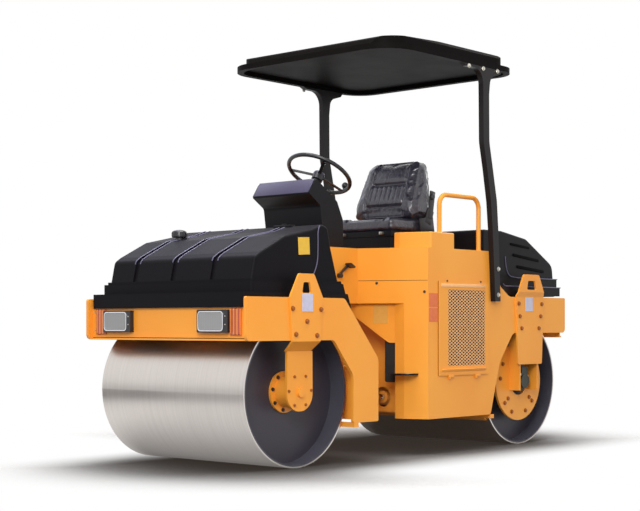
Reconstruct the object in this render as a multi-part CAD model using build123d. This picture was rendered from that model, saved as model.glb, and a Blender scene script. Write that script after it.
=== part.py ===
from build123d import *
import math
import os

# Tandem vibratory road roller, centre-articulated, at full size in millimetres.
# +X is forward, +Y is the machine's left, +Z is up; the origin is on the ground,
# below the middle of the machine.

# ---------------------------------------------------------------- driving sizes
LENGTH = 3160.0  # over the ends of the frame
FRAME_WIDTH = 1336.0  # over the side plates of both frames
PLATE = 20.0  # side plates
SHEET = 6.0  # cab floor, panels
GAP = 5.0  # running clearance between bodies
FIT = 0.05  # radial clearance of a shaft in its bore

DRUM_R = 425.0
DRUM_CLEAR = 56.0  # drum's end to the side plate
DRUM_GAP = 28.0  # drum to the wall ahead of it
DRUM_SHELL = 17.0
DISC_DEPTH = 105.0  # end disc lies this far inside the drum's end
DISC_T = 16.0
DISC_HOLE_R = 62.0
FRONT_OVERHANG, REAR_OVERHANG = 480.0, 454.0  # axle to the end of the frame

PIVOT_X = 95.0  # articulation pin
BODY_FRONT = -13.0
BODY_LOW = 222.0
FRAME_RISE = 107.0  # top of the front side plates above the drum
REAR_STEP = 33.0  # the rear side plates stand this much higher
BEAM_DEPTH = 240.0  # side plate beyond the drum
BODY_RISE = 326.0  # deck above the front side plates
WELL_DEPTH = 203.0  # footwell floor below the deck
SKIRT_DEPTH = 142.0  # band round the body below the floor

HALF_LENGTH = LENGTH / 2
OUT = FRAME_WIDTH / 2
INN = OUT - PLATE
DRUM_END = INN - DRUM_CLEAR
DRUM_TOP = 2 * DRUM_R
FRONT_AXLE_X = HALF_LENGTH - FRONT_OVERHANG
REAR_AXLE_X = REAR_OVERHANG - HALF_LENGTH
FRAME_TOP = DRUM_TOP + FRAME_RISE
REAR_FRAME_TOP = FRAME_TOP + REAR_STEP
BEAM_LOW = FRAME_TOP - BEAM_DEPTH
BODY_TOP = FRAME_TOP + BODY_RISE
FLOOR_Z = BODY_TOP - WELL_DEPTH
SKIRT_LOW = FLOOR_Z - SKIRT_DEPTH
BODY_REAR = REAR_AXLE_X + DRUM_R + DRUM_GAP


# ---------------------------------------------------------------- small helpers
def box(x0, x1, y0, y1, z0, z1):
    return Pos((x0 + x1) / 2, (y0 + y1) / 2, (z0 + z1) / 2) * Box(x1 - x0, y1 - y0, z1 - z0)


def span(a, b):
    return (a, b) if a < b else (b, a)


def outline(rows):
    """Closed face from rows of (first, second, corner radius)."""
    points = [(a, b) for a, b, _ in rows]
    return make_face(FilletPolyline(*points, radius=[r for _, _, r in rows], close=True))


def prism_y(rows, y0, y1):
    """Rows of (x, z, radius) carried from y0 to y1."""
    return extrude(Plane.XZ.offset(-y1) * outline(rows), y1 - y0)


def prism_x(rows, x0, x1):
    """Rows of (y, z, radius) carried from x0 to x1."""
    return extrude(Plane.YZ.offset(x0) * outline(rows), x1 - x0)


def prism_z(rows, z0, z1):
    """Rows of (x, y, radius) carried from z0 to z1."""
    return extrude(Plane.XY.offset(z0) * outline(rows), z1 - z0)


def rod_x(y, z, r, x0, x1):
    return extrude(Plane.YZ.offset(x0) * Pos(y, z) * Circle(r), x1 - x0)


def rod_y(x, z, r, y0, y1):
    return extrude(Plane.XZ.offset(-y1) * Pos(x, z) * Circle(r), y1 - y0)


def rod_z(x, y, r, z0, z1):
    return extrude(Plane.XY.offset(z0) * Pos(x, y) * Circle(r), z1 - z0)


def mirror_y(shape):
    return mirror(shape, about=Plane.XZ)


def both_sides(shape):
    return Compound(children=[shape, mirror_y(shape)])


def save(name, shape):
    shape.label = name
    export_step(shape, f"parts/{name}.step")


# ---------------------------------------------------------------- drums
HUB_R = 88.0
HUB_FLANGE_R = 118.0
HUB_FLANGE_T = 14.0
STUB_R = 45.0
HUB_END = DRUM_END - 6  # outer end of the bearing housing, inside the arm


def drum(axle_x):
    """Open steel shell with two recessed end discs on a through tube."""
    z = DRUM_R
    rim = DRUM_R - DRUM_SHELL
    shell = rod_y(axle_x, z, DRUM_R, -DRUM_END, DRUM_END) - rod_y(axle_x, z, rim, -DRUM_END, DRUM_END)
    for edge in shell.edges().filter_by(GeomType.CIRCLE).sort_by(lambda e: e.radius)[-2:]:
        shell = chamfer(edge, 5)
    face = DRUM_END - DISC_DEPTH
    for side in (-1, 1):
        inner, outer = sorted((side * face, side * (face - DISC_T)))
        shell += rod_y(axle_x, z, rim, inner, outer) - rod_y(axle_x, z, DISC_HOLE_R, inner, outer)
    tube = rod_y(axle_x, z, DISC_HOLE_R + 12, DISC_T - face, face - DISC_T)
    return shell + (tube - rod_y(axle_x, z, DISC_HOLE_R, DISC_T - face, face - DISC_T))


def hub(axle_x, side):
    """Bearing housing bolted on the end disc; it turns with the drum on the arm's stub."""
    face = DRUM_END - DISC_DEPTH
    ends = [face, face + HUB_FLANGE_T, HUB_END]
    body = rod_y(axle_x, DRUM_R, HUB_FLANGE_R, ends[0], ends[1])
    body += rod_y(axle_x, DRUM_R, HUB_R, ends[1], ends[2])
    body -= rod_y(axle_x, DRUM_R, STUB_R + FIT, ends[0], ends[2])
    return body if side > 0 else mirror_y(body)


# ---------------------------------------------------------------- drum arms
ARM_T = 12.0
ARM_LOW_OUT = OUT - 51  # outer face of the arm's lower plate
ARM_LOW_T = 16.0
JOGGLE = 55.0  # height over which the hub arm steps inward


def tapered(x, rows, y0, y1):
    """Upright plate about x from rows of (half width, z, radius), from the top down."""
    left = [(x - half, z, r) for half, z, r in reversed(rows)]
    return prism_y([(x + half, z, r) for half, z, r in rows] + left, y0, y1)


def slanted_band(x, y_high, y_low, t, high, low, half_high, half_low):
    """Plate that steps from y_high to y_low between two heights, tapering with them."""
    band = prism_x([(y_high, high, 0), (y_high + t, high, 0), (y_low + t, low, 0), (y_low, low, 0)], x - 400, x + 400)
    y0, y1 = min(y_high, y_low), max(y_high, y_low) + t
    return band & tapered(x, [(half_high, high, 0), (half_low, low, 0)], y0, y1)


def hub_arm(axle_x, side, lead=0.0):
    """Idler side: lifting lug and joggled plate that carries the stub axle."""
    high, low = BEAM_LOW - GAP, BEAM_LOW - GAP - JOGGLE
    x = axle_x + lead
    lug = FRAME_TOP + 133
    upper = tapered(x, [(62, lug, 22), (136, FRAME_TOP, 12), (130, FRAME_TOP - 90, 40), (116, high, 0)], OUT, OUT + ARM_T)
    upper -= tapered(x, [(26, lug - 48, 10), (38, lug - 108, 10)], OUT, OUT + ARM_T)
    low_in = ARM_LOW_OUT - ARM_LOW_T
    arm = upper + slanted_band(x, OUT - ARM_LOW_T + ARM_T, low_in, ARM_LOW_T, high, low, 116, 116 - abs(lead))
    foot = DRUM_R - 106
    arm += tapered(axle_x, [(116 - abs(lead), low, 0), (106, foot, 100)], low_in, ARM_LOW_OUT)
    arm += rod_y(axle_x, DRUM_R, STUB_R, DRUM_END - DISC_DEPTH, low_in)
    arm += rod_y(axle_x, DRUM_R, 26, ARM_LOW_OUT, ARM_LOW_OUT + 14)
    return arm if side > 0 else mirror_y(arm)


DRIVE_R = 265.0
DRIVE_OUT = DRUM_END - 7  # outer face of the round drive plate
DRIVE_T = 16.0
MOTOR_R = 70.0
MOTOR_SLOT = 25.0  # free space round the motor in the drive plate
CHEEK_T = 12.0


def drive_arm(axle_x, side):
    """Drive side: plate on the frame, stepping out above it to the lifting lug."""
    low, high = REAR_FRAME_TOP + 4, REAR_FRAME_TOP + 34
    lug = REAR_FRAME_TOP + 152
    upper = tapered(axle_x, [(90, lug, 22), (132, lug - 80, 20), (150, high, 0)], OUT + ARM_T, OUT + 2 * ARM_T)
    upper -= tapered(axle_x, [(42, lug - 42, 10), (55, lug - 102, 10)], OUT + ARM_T, OUT + 2 * ARM_T)
    arm = upper + slanted_band(axle_x, OUT + ARM_T, OUT, ARM_T, high, low, 150, 163)
    arm += tapered(axle_x, [(163, low, 0), (165, low - 60, 12), (142, DRUM_R + 115, 12)], OUT, OUT + ARM_T)
    return arm if side > 0 else mirror_y(arm)


def drive_bracket(axle_x, side, top):
    """Round plate beside the end disc with a slot for the motor, on two cheeks."""
    inner = DRIVE_OUT - DRIVE_T
    slot = MOTOR_R + MOTOR_SLOT
    plate = rod_y(axle_x, DRUM_R, DRIVE_R, inner, DRIVE_OUT)
    plate -= rod_y(axle_x, DRUM_R, slot, inner, DRIVE_OUT)
    plate -= box(axle_x - slot, axle_x + slot, inner, DRIVE_OUT, DRUM_R, DRUM_R + DRIVE_R)
    for side_x in (-1, 1):
        cheek = span(axle_x + side_x * (slot + 2), axle_x + side_x * (slot + 2 + CHEEK_T))
        plate += box(*cheek, DRIVE_OUT, OUT, DRUM_R - 60, top)
    return plate if side > 0 else mirror_y(plate)


def drive_motor(axle_x, side):
    """Hydraulic motor between the cheeks, its shaft in the drum's tube."""
    face = DRUM_END - DISC_DEPTH
    end = INN - 8
    motor = rod_y(axle_x, DRUM_R, MOTOR_R, face + GAP, end - 40)
    motor += rod_y(axle_x, DRUM_R, MOTOR_R - 22, end - 40, end)
    motor += rod_y(axle_x, DRUM_R, DISC_HOLE_R - FIT, face - DISC_T, face + GAP)
    motor += box(axle_x - 36, axle_x + 36, end - 80, end - 4, DRUM_R + 40, DRUM_R + 96)
    return motor if side > 0 else mirror_y(motor)


# ---------------------------------------------------------------- front frame
DRUM_REAR = FRONT_AXLE_X - DRUM_R
LEG_REAR = DRUM_REAR - 205
LEG_FRONT = DRUM_REAR + 22
LEG_LOW = 236.0
LEG_TOP = DRUM_R + 180
CROSS_FRONT = DRUM_REAR - 45
CROSS_REAR = LEG_REAR + 10
CROSS_LOW = 250.0
CROSS_TOP = LEG_TOP - 45
CROSS_WALL = 16.0
KNUCKLE_FRONT = PIVOT_X + 90
TRUNNION_Z = DRUM_R - 20
TRUNNION_R = 48.0
TONGUE_R = 90.0


def front_side_plates():
    plate = prism_y(
        [
            (LEG_REAR, LEG_LOW, 12),
            (LEG_FRONT, LEG_LOW, 12),
            (LEG_FRONT, BEAM_LOW - 204, 60),
            (LEG_FRONT + 171, BEAM_LOW, 40),
            (HALF_LENGTH, BEAM_LOW, 30),
            (HALF_LENGTH, FRAME_TOP, 12),
            (LEG_REAR + 305, FRAME_TOP, 40),
            (LEG_REAR, LEG_TOP, 60),
        ],
        INN,
        OUT,
    )
    return both_sides(plate)


def front_crossbeam():
    """Box beam between the legs, with the tongue that carries the oscillation pin."""
    wall = CROSS_WALL
    beam = box(CROSS_REAR, CROSS_FRONT, -INN, INN, CROSS_LOW, CROSS_TOP)
    beam -= box(CROSS_REAR + wall, CROSS_FRONT - wall, -INN, INN, CROSS_LOW + wall, CROSS_TOP - wall)
    rear = KNUCKLE_FRONT + GAP
    beam += rod_x(0, TRUNNION_Z, TONGUE_R, rear, CROSS_REAR)
    for y in (-46, 30):
        beam += prism_y(
            [
                (CROSS_REAR, CROSS_LOW, 0),
                (CROSS_REAR, CROSS_TOP, 0),
                (rear + 55, TRUNNION_Z + 70, 0),
                (rear + 55, TRUNNION_Z - 70, 0),
            ],
            y,
            y + 16,
        )
    return beam - rod_x(0, TRUNNION_Z, TRUNNION_R + FIT, rear, CROSS_REAR + wall)


# ---------------------------------------------------------------- bumpers and lamps
BUMPER_SET_IN = 33.0
BUMPER_LOW = BEAM_LOW + 11
BUMPER_TOP = DRUM_TOP + 50
BUMPER_T = 10.0
BUMPER_LIP = 14.0
BUMPER_DEEP = 90.0
LAMP_DEEP = 55.0
LAMPS = {
    # name: (inner edge and outer edge in from the side plate, low and top above the bumper, stand-out)
    "head": (370.0, 129.0, 33.0, 159.0, 8.0),
    "amber": (129.0, 44.0, 20.0, 166.0, 14.0),
}


def lamp_box(kind, x0, x1):
    from_plate, to_plate, low, top, _ = LAMPS[kind]
    return box(*span(x0, x1), INN - from_plate, INN - to_plate, BUMPER_LOW + low, BUMPER_LOW + top)


def bumper(toward, kinds):
    """Channel between the side plates: face sheet with lamp openings, two flanges."""
    face = toward * (HALF_LENGTH - BUMPER_SET_IN)
    back = face - toward * BUMPER_T
    panel = box(*span(face, back), -INN, INN, BUMPER_LOW, BUMPER_TOP)
    panel += box(*span(back, face - toward * BUMPER_DEEP), -INN, INN, BUMPER_TOP - BUMPER_T, BUMPER_TOP)
    panel += box(*span(back, face + toward * BUMPER_LIP), -INN, INN, BEAM_LOW, BUMPER_LOW)
    for kind in kinds:
        hole = lamp_box(kind, face, face - toward * LAMP_DEEP)
        panel -= hole
        panel -= mirror_y(hole)
    return panel


def lamps(kind, toward):
    """One lamp each side, filling its opening in the bumper."""
    face = toward * (HALF_LENGTH - BUMPER_SET_IN)
    lamp = lamp_box(kind, face + toward * LAMPS[kind][-1], face - toward * LAMP_DEEP)
    lamp = fillet(lamp.faces().sort_by(Axis.X)[-1 if toward > 0 else 0].edges(), 7)
    return both_sides(lamp)


# ---------------------------------------------------------------- front tank
TANK_HALF = INN - 58
TANK_REAR = HALF_LENGTH - 841  # where its rear face meets the skirt
TANK_LOW = BUMPER_TOP + 156
TANK_EDGE = 18.0
TANK_TOP_LINE = [
    # back from the frame's front end, height above the skirt, corner radius
    (119, 0, 0),
    (146, 122, 40),
    (189, 150, 30),
    (389, 248, 60),
    (610, 293, 60),
    (708, 325, 20),
    (750, 309, 24),
    (780, 188, 60),
]
GROOVES = (-366.0, -41.0, 283.0)
GROOVE_WIDTH = 36.0
GROOVE_DEPTH = 10.0
SKIRT_REAR = 58.0  # the skirt's foot lies this far behind its top


def tank_profile(inset):
    front = HALF_LENGTH - inset
    points = [(front - back, TANK_LOW + (up - inset if up else 0), r) for back, up, r in TANK_TOP_LINE]
    return points + [(TANK_REAR, TANK_LOW, 0)]


def tank_height(x):
    """Height of the tank's top line at x."""
    line = [(HALF_LENGTH - back, TANK_LOW + up) for back, up, _ in TANK_TOP_LINE]
    for (x1, z1), (x0, z0) in zip(line, line[1:]):
        if x0 <= x <= x1:
            return z0 + (z1 - z0) * (x - x0) / (x1 - x0)


def front_tank():
    """Moulded water tank over the drum: stepped skirt, sloping top, three grooves."""
    steps = [
        # low and high above the skirt's foot, set back from the frame's end, in from the side plate
        (0, 83, 18, 11),
        (83, 141, 87, 28),
        (141, TANK_LOW - BUMPER_TOP, 106, 40),
    ]
    tank = prism_y(tank_profile(0), -TANK_HALF, TANK_HALF)
    ends = tank.faces().filter_by(Axis.Y)
    tank = fillet([e for e in ends.edges() if e.center().Z > TANK_LOW + 1], TANK_EDGE)
    skirt_rear = TANK_REAR - SKIRT_REAR
    for low, high, back, inside in steps:
        half = INN - inside
        layer = box(skirt_rear, HALF_LENGTH - back, -half, half, BUMPER_TOP + low, BUMPER_TOP + high)
        tank += fillet(layer.edges().filter_by(Axis.Z).sort_by(Axis.X)[-2:], 22)
    behind = [(skirt_rear, BUMPER_TOP, 0), (TANK_REAR, TANK_LOW, 0), (skirt_rear, TANK_LOW, 0)]
    tank -= prism_y(behind, -INN, INN)
    for y in GROOVES:
        y0, y1 = y - GROOVE_WIDTH / 2, y + GROOVE_WIDTH / 2
        band = prism_y(tank_profile(0), y0, y1) - prism_y(tank_profile(GROOVE_DEPTH), y0, y1)
        tank -= band & box(TANK_REAR + 150, HALF_LENGTH, y0, y1, TANK_LOW, BODY_TOP + 200)
    return tank


def tank_cap():
    x, y = FRONT_AXLE_X + 8, GROOVES[0]
    z = tank_height(x) - GROOVE_DEPTH
    neck = rod_z(x, y, 26, z - 8, z + 34) - front_tank()
    return neck + rod_z(x, y, 46, z + 34, z + 70)


# ---------------------------------------------------------------- centre joint
PIN_R = 30.0
HINGE_LOW, HINGE_TOP = TRUNNION_Z - 75, TRUNNION_Z + 75
EAR_T = 26.0
BULKHEAD_X = BODY_FRONT - 59
BARREL_Y = 256.0
BARREL_Z = HINGE_LOW + 15
BARREL_R = 38.0
BARREL_LENGTH = 330.0
BARREL_HOLE = 26.0  # free space round the barrel in the bulkhead
BULKHEAD_LOW = BARREL_Z - BARREL_R - BARREL_HOLE - 29
ROD_R = 20.0
EYE_R = 32.0
EYE_T = 40.0
ANCHOR_DEEP = 40.0  # barrel's foot, to the beam that holds it
BARREL_FRONT = BULKHEAD_X - 4
BARREL_REAR = BARREL_FRONT - BARREL_LENGTH


def centre_knuckle():
    """Block on the vertical pin, trunnion for the rocking front frame, steering arm."""
    block = box(PIVOT_X - 55, KNUCKLE_FRONT, -62, 62, HINGE_LOW, HINGE_TOP)
    block = fillet(block.edges().filter_by(Axis.Z), 30)
    block += rod_z(PIVOT_X, 0, PIN_R, HINGE_LOW - EAR_T - 12, HINGE_TOP + EAR_T + 12)
    block += rod_x(0, TRUNNION_Z, TRUNNION_R, KNUCKLE_FRONT, CROSS_REAR + 10)
    arm_low = BARREL_Z + EYE_T / 2 + GAP
    arm = prism_z(
        [
            (PIVOT_X - 50, 40, 0),
            (PIVOT_X - 34, BARREL_Y + EYE_R + 12, 30),
            (PIVOT_X + 34, BARREL_Y + EYE_R + 12, 30),
            (PIVOT_X + 60, 40, 0),
        ],
        arm_low,
        arm_low + 22,
    )
    return block + arm


def rear_bulkhead():
    """Cross wall of the rear frame, with the ears of the articulation pin."""
    wall = box(BULKHEAD_X - PLATE, BULKHEAD_X, -INN, INN, BULKHEAD_LOW, SKIRT_LOW)
    wall -= rod_x(BARREL_Y, BARREL_Z, BARREL_R + BARREL_HOLE, BULKHEAD_X - PLATE, BULKHEAD_X)
    for low in (HINGE_LOW - GAP - EAR_T, HINGE_TOP + GAP):
        ear = prism_z(
            [
                (BULKHEAD_X, -110, 0),
                (PIVOT_X + 58, -62, 40),
                (PIVOT_X + 58, 62, 40),
                (BULKHEAD_X, 110, 0),
            ],
            low,
            low + EAR_T,
        )
        wall += ear - rod_z(PIVOT_X, 0, PIN_R + FIT, low, low + EAR_T)
    return wall


def rear_crossmembers():
    """Cylinder anchor beam, wall ahead of the drum and the engine bed above it."""
    front = BARREL_REAR - ANCHOR_DEEP
    anchor = box(front - 60, front, -INN, INN, BARREL_Z - 60, BARREL_Z + 60)
    wall = box(BODY_REAR, BODY_REAR + SHEET, -INN, INN, BULKHEAD_LOW, ENGINE_LOW)
    bed = box(-HALF_LENGTH + 160, BODY_REAR, -INN, INN, ENGINE_LOW - 18, ENGINE_LOW)
    return Compound(children=[anchor, wall + bed])


def steering_barrel():
    barrel = rod_x(BARREL_Y, BARREL_Z, BARREL_R, BARREL_REAR, BARREL_FRONT)
    barrel -= rod_x(BARREL_Y, BARREL_Z, ROD_R + FIT, BARREL_REAR + 20, BARREL_FRONT)
    foot = box(BARREL_REAR - ANCHOR_DEEP, BARREL_REAR, BARREL_Y - 20, BARREL_Y + 20, BARREL_Z - 35, BARREL_Z + 35)
    return barrel + foot


def steering_rod():
    rod = rod_x(BARREL_Y, BARREL_Z, ROD_R, BARREL_FRONT - BARREL_LENGTH / 2 + 15, PIVOT_X - EYE_R + 4)
    rod += rod_z(PIVOT_X, BARREL_Y, EYE_R, BARREL_Z - EYE_T / 2, BARREL_Z + EYE_T / 2)
    return rod - rod_z(PIVOT_X, BARREL_Y, 18, BARREL_Z - EYE_T / 2, BARREL_Z + EYE_T / 2)


# ---------------------------------------------------------------- rear frame
BAY_GAP = 177.0  # bay for the console to the tank's rear face
WELL_REAR = BODY_FRONT - 137
WELL_HALF = 400.0
CONSOLE_HALF = 239.0
SLANT_RUN = 173.0  # how far each slanted front wall runs forward
ENGINE_LOW = DRUM_TOP + 30
BOX_RISE = 98.0  # raised boxes above the deck

BAY_HALF = CONSOLE_HALF + SHEET
BAY_FRONT = TANK_REAR - SKIRT_REAR - BAY_GAP
SLANT = SLANT_RUN / (OUT - BAY_HALF)
BOX_TOP = BODY_TOP + BOX_RISE


def rear_side_plates():
    """Side of the body and of the rear frame in one flat plate."""
    low = BEAM_LOW + REAR_STEP
    plate = prism_y(
        [
            (BODY_FRONT, BODY_LOW, 0),
            (BODY_FRONT, BODY_TOP, 0),
            (BODY_REAR, BODY_TOP, 0),
            (BODY_REAR - 122, REAR_FRAME_TOP + 64, 0),
            (BODY_REAR - 225, REAR_FRAME_TOP, 90),
            (-HALF_LENGTH, REAR_FRAME_TOP, 12),
            (-HALF_LENGTH, low, 30),
            (REAR_AXLE_X + 187, low, 60),
            (REAR_AXLE_X + 340, DRUM_R + 135, 200),
            (REAR_AXLE_X + DRUM_R + 21, BODY_LOW, 20),
        ],
        INN,
        OUT,
    )
    return both_sides(plate)


def slant_x(y, inset):
    """X of the slanted front wall's face at y, moved in by inset."""
    return BODY_FRONT + (OUT - y) * SLANT - inset * math.hypot(1, SLANT)


def body_plan(rear, half, inset):
    """Plan of the body's front: sides, slanted walls and the bay for the console."""
    bay = BAY_HALF - inset
    points = [(rear, half), (slant_x(half, inset), half), (slant_x(bay, inset), bay), (BAY_FRONT - inset, bay)]
    points = points if points[1][0] > rear + FIT else points[1:]
    return [(x, y, 0) for x, y in points] + [(x, -y, 0) for x, y in reversed(points)]


def platform():
    """Footwell floor and walls, the slanted front walls and the deck for the seat."""
    shell = prism_z(body_plan(BODY_FRONT, OUT, 0), SKIRT_LOW, BODY_TOP)
    shell += box(WELL_REAR - SHEET, BODY_FRONT, -INN, INN, SKIRT_LOW, BODY_TOP)
    well = body_plan(WELL_REAR, WELL_HALF, SHEET)
    shell -= prism_z(well, FLOOR_Z, BODY_TOP)
    shell -= prism_z(well, SKIRT_LOW, FLOOR_Z - SHEET)
    inner, outer = WELL_HALF + SHEET, INN - SHEET
    for side in (-1, 1):
        hollow = [
            (WELL_REAR, side * inner, 0),
            (slant_x(inner, SHEET), side * inner, 0),
            (slant_x(outer, SHEET), side * outer, 0),
            (WELL_REAR, side * outer, 0),
        ]
        shell -= prism_z(hollow, SKIRT_LOW, BODY_TOP - SHEET)
    shell += box(BODY_REAR, WELL_REAR - SHEET, -INN, INN, BODY_TOP - SHEET, BODY_TOP)
    edge = WELL_HALF + 30
    rows = [
        (WELL_REAR - 135, edge, 0),
        (WELL_REAR - 135, OUT, 8),
        (BODY_FRONT - 32, OUT, 16),
        (BODY_FRONT + 35, edge + 41, 16),
        (BODY_FRONT + 35, edge, 0),
    ]
    raised = prism_z(rows, BODY_TOP, BOX_TOP)
    raised = fillet(raised.faces().sort_by(Axis.Z)[-1].edges(), 7)
    return shell + raised + mirror_y(raised)


PANEL_IN = OUT - 143  # inner edge of the lower slanted panel
RETURN_Y = PANEL_IN - 71
PANEL_X = BODY_FRONT + (OUT - PANEL_IN) * SLANT
FLAP_LOW = 446.0


def along_slant(y_start, setback):
    """Upright plane through the return's end, running inward parallel to the slanted wall."""
    return Plane(origin=(PANEL_X - setback, y_start, 0), x_dir=(SLANT, -1, 0), z_dir=(-1, -SLANT, 0))


def corner_panels():
    """Lower slanted panel at each corner, its return and the recessed inner sheet."""
    inner_x = PANEL_X - SHEET
    rows = [
        (BODY_FRONT, OUT, 0),
        (PANEL_X, PANEL_IN, 0),
        (PANEL_X, RETURN_Y, 0),
        (inner_x, RETURN_Y, 0),
        (inner_x, OUT - (inner_x - slant_x(OUT, SHEET)) / SLANT, 0),
        (BODY_FRONT, OUT - (BODY_FRONT - slant_x(OUT, SHEET)) / SLANT, 0),
    ]
    panel = prism_z(rows, BODY_LOW, SKIRT_LOW)
    # along the sheet, height, corner radius
    sheet = [(0, SKIRT_LOW, 0), (0, SKIRT_LOW - 245, 0), (46, SKIRT_LOW - 245, 30)]
    sheet += [(256, SKIRT_LOW - 91, 0), (325, SKIRT_LOW - 40, 0), (325, SKIRT_LOW, 0)]
    panel += extrude(along_slant(RETURN_Y, SHEET) * outline(sheet), SHEET)
    return both_sides(panel)


def splash_flaps():
    """Rubber flap hanging behind each inner sheet."""
    flap = [(4, SKIRT_LOW - 120, 0), (74, SKIRT_LOW - 120, 0), (74, FLAP_LOW, 12), (4, FLAP_LOW, 12)]
    setback = SHEET + SHEET * math.hypot(1, SLANT)
    return both_sides(extrude(along_slant(RETURN_Y, setback) * outline(flap), SHEET))


STEP_R = 92.0
STEP_Z = 504.0
STEP_T = 10.0


def steps():
    """Rounded step plate round each corner of the lower panels."""
    plate = rod_z(PANEL_X, PANEL_IN, STEP_R, STEP_Z - STEP_T, STEP_Z)
    reach = 2 * STEP_R
    outside = [
        (slant_x(PANEL_IN + reach, 0), PANEL_IN + reach, 0),
        (PANEL_X, PANEL_IN, 0),
        (PANEL_X, PANEL_IN - reach, 0),
        (PANEL_X + reach, PANEL_IN - reach, 0),
        (PANEL_X + reach, PANEL_IN + reach, 0),
    ]
    return both_sides(plate & prism_z(outside, STEP_Z - STEP_T, STEP_Z))


ENGINE_SET_BACK = 132.0  # behind the wall ahead of the drum
ENGINE_LENGTH = 445.0
ENGINE_HALF = 230.0
ENGINE_HIGH = 52.0  # above the deck


def engine():
    """One plain block on the bed under the hood."""
    front = BODY_REAR - ENGINE_SET_BACK
    return box(front - ENGINE_LENGTH, front, -ENGINE_HALF, ENGINE_HALF, ENGINE_LOW, BODY_TOP + ENGINE_HIGH)


RAIL_R = 15.0
RAIL_Y = OUT - 48
RAIL_RISE = 357.0  # top of the rail above the deck
RAIL_BEND = 70.0


def handrails():
    front, rear = BODY_FRONT - 177, BODY_REAR + 61
    top = BODY_TOP + RAIL_RISE - RAIL_R
    corners = [(front, RAIL_Y, BOX_TOP), (front, RAIL_Y, top), (rear, RAIL_Y, top), (rear, RAIL_Y, BODY_TOP)]
    path = FilletPolyline(*corners, radius=RAIL_BEND)
    start = Plane(origin=corners[0], z_dir=(0, 0, 1))
    return both_sides(sweep(start * Circle(RAIL_R), path=path))


GRILLE_T = 8.0
GRILLE_MESH_T = 3.0


def grilles():
    """Side doors with a framed opening and the expanded mesh behind it."""
    rear, front = BODY_REAR + 21, BODY_FRONT - 101
    low, top = BODY_LOW + 265, FLOOR_Z - 1
    window = (rear + 42, front - 96)
    panel = box(rear, front, OUT, OUT + GRILLE_T, low, top)
    panel = fillet(panel.edges().filter_by(Axis.Y), 6)
    panel -= box(*window, OUT, OUT + GRILLE_T, low + 59, top - 54)
    return both_sides(panel + box(*window, OUT, OUT + GRILLE_MESH_T, low + 59, top - 54))


# ---------------------------------------------------------------- operator's place
SEAT_REAR = BODY_REAR + 61
PAN_TOP = BODY_TOP + 131
CUSHION_T = 86.0
CUSHION_TOP = PAN_TOP + CUSHION_T
CUSHION_HALF = 245.0
BACK_HALF, BACK_TOP_HALF = 250.0, 215.0
BACK_HIGH = 410.0  # back above the cushion


def seat_base():
    """Bellows box, slide tray and the upright behind the back."""
    base = box(SEAT_REAR + 52, SEAT_REAR + 412, -215, 215, BODY_TOP, PAN_TOP - 34)
    base += box(SEAT_REAR, SEAT_REAR + 422, -235, 235, PAN_TOP - 34, PAN_TOP)
    upright = [
        (SEAT_REAR, PAN_TOP, 0),
        (SEAT_REAR + 16, PAN_TOP, 0),
        (SEAT_REAR + 16, CUSHION_TOP + GAP, 0),
        (SEAT_REAR + 2, CUSHION_TOP + BACK_HIGH - 120, 0),
        (SEAT_REAR - 12, CUSHION_TOP + BACK_HIGH - 120, 0),
        (SEAT_REAR, CUSHION_TOP, 0),
    ]
    return base + prism_y(upright, -120, 120)


def seat_cushion():
    cushion = box(SEAT_REAR + 32, SEAT_REAR + 427, -CUSHION_HALF, CUSHION_HALF, PAN_TOP, CUSHION_TOP)
    return fillet(cushion.edges(), 26)


def seat_back():
    """Leaning pad, thick at the foot and narrower at the top."""
    low, top = CUSHION_TOP + GAP, CUSHION_TOP + BACK_HIGH
    side = [
        # ahead of the upright, height above the cushion, corner radius
        (0, GAP, 0),
        (212, GAP, 30),
        (200, 112, 60),
        (94, 360, 60),
        (50, BACK_HIGH, 30),
        (0, BACK_HIGH, 30),
        (-14, BACK_HIGH - 120, 0),
    ]
    pad = prism_y([(SEAT_REAR + 16 + x, CUSHION_TOP + up, r) for x, up, r in side], -BACK_HALF, BACK_HALF)
    face = [
        (BACK_HALF, low, 20),
        (BACK_HALF - 8, low + 200, 120),
        (BACK_TOP_HALF, top, 65),
        (-BACK_TOP_HALF, top, 65),
        (8 - BACK_HALF, low + 200, 120),
        (-BACK_HALF, low, 20),
    ]
    return pad & prism_x(face, SEAT_REAR - 10, SEAT_REAR + 240)


CONSOLE_X = BAY_FRONT - SHEET
CONSOLE_RISE = 412.0  # top of the instrument head above the deck
WHEEL_R = 218.0
WHEEL_RIM_R = 13.0
WHEEL_TILT = 31.0
WHEEL_BACK = 252.0  # wheel's centre behind the console's foot
WHEEL_RISE = 477.0
WHEEL_HUB_R, WHEEL_HUB_T = 36.0, 40.0
WHEEL_HUB_DROP = 28.0
SPOKES = 3
SPOKE_START = 78.0
KNOB_R = 22.0
KNOB_RISE = 45.0
COLUMN_R, COLUMN_LENGTH = 30.0, 220.0
LEVER_REACH = 26.0
LEVER_LOW, LEVER_HIGH = 120.0, 372.0  # pivot and grip above the deck
LEVER_GRIP_R = 26.0


def console():
    """Pedestal in the bay with the overhanging instrument head and the wheel's column."""
    top = BODY_TOP + CONSOLE_RISE
    rows = [
        # ahead of the foot's front, height, corner radius
        (0, FLOOR_Z, 0),
        (0, BODY_TOP, 30),
        (-10, top - 281, 0),
        (7, top - 161, 30),
        (110, top - 95, 12),
        (46, top, 24),
        (-150, top - 130, 30),
        (-204, top - 240, 0),
        (-220, FLOOR_Z, 0),
    ]
    whole = prism_y([(CONSOLE_X + x, z, r) for x, z, r in rows], -CONSOLE_HALF, CONSOLE_HALF)
    drop = WHEEL_HUB_DROP + WHEEL_HUB_T / 2 + GAP + COLUMN_LENGTH / 2
    return whole + wheel_plane() * Pos(0, 0, -drop) * Cylinder(COLUMN_R, COLUMN_LENGTH)


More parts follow.
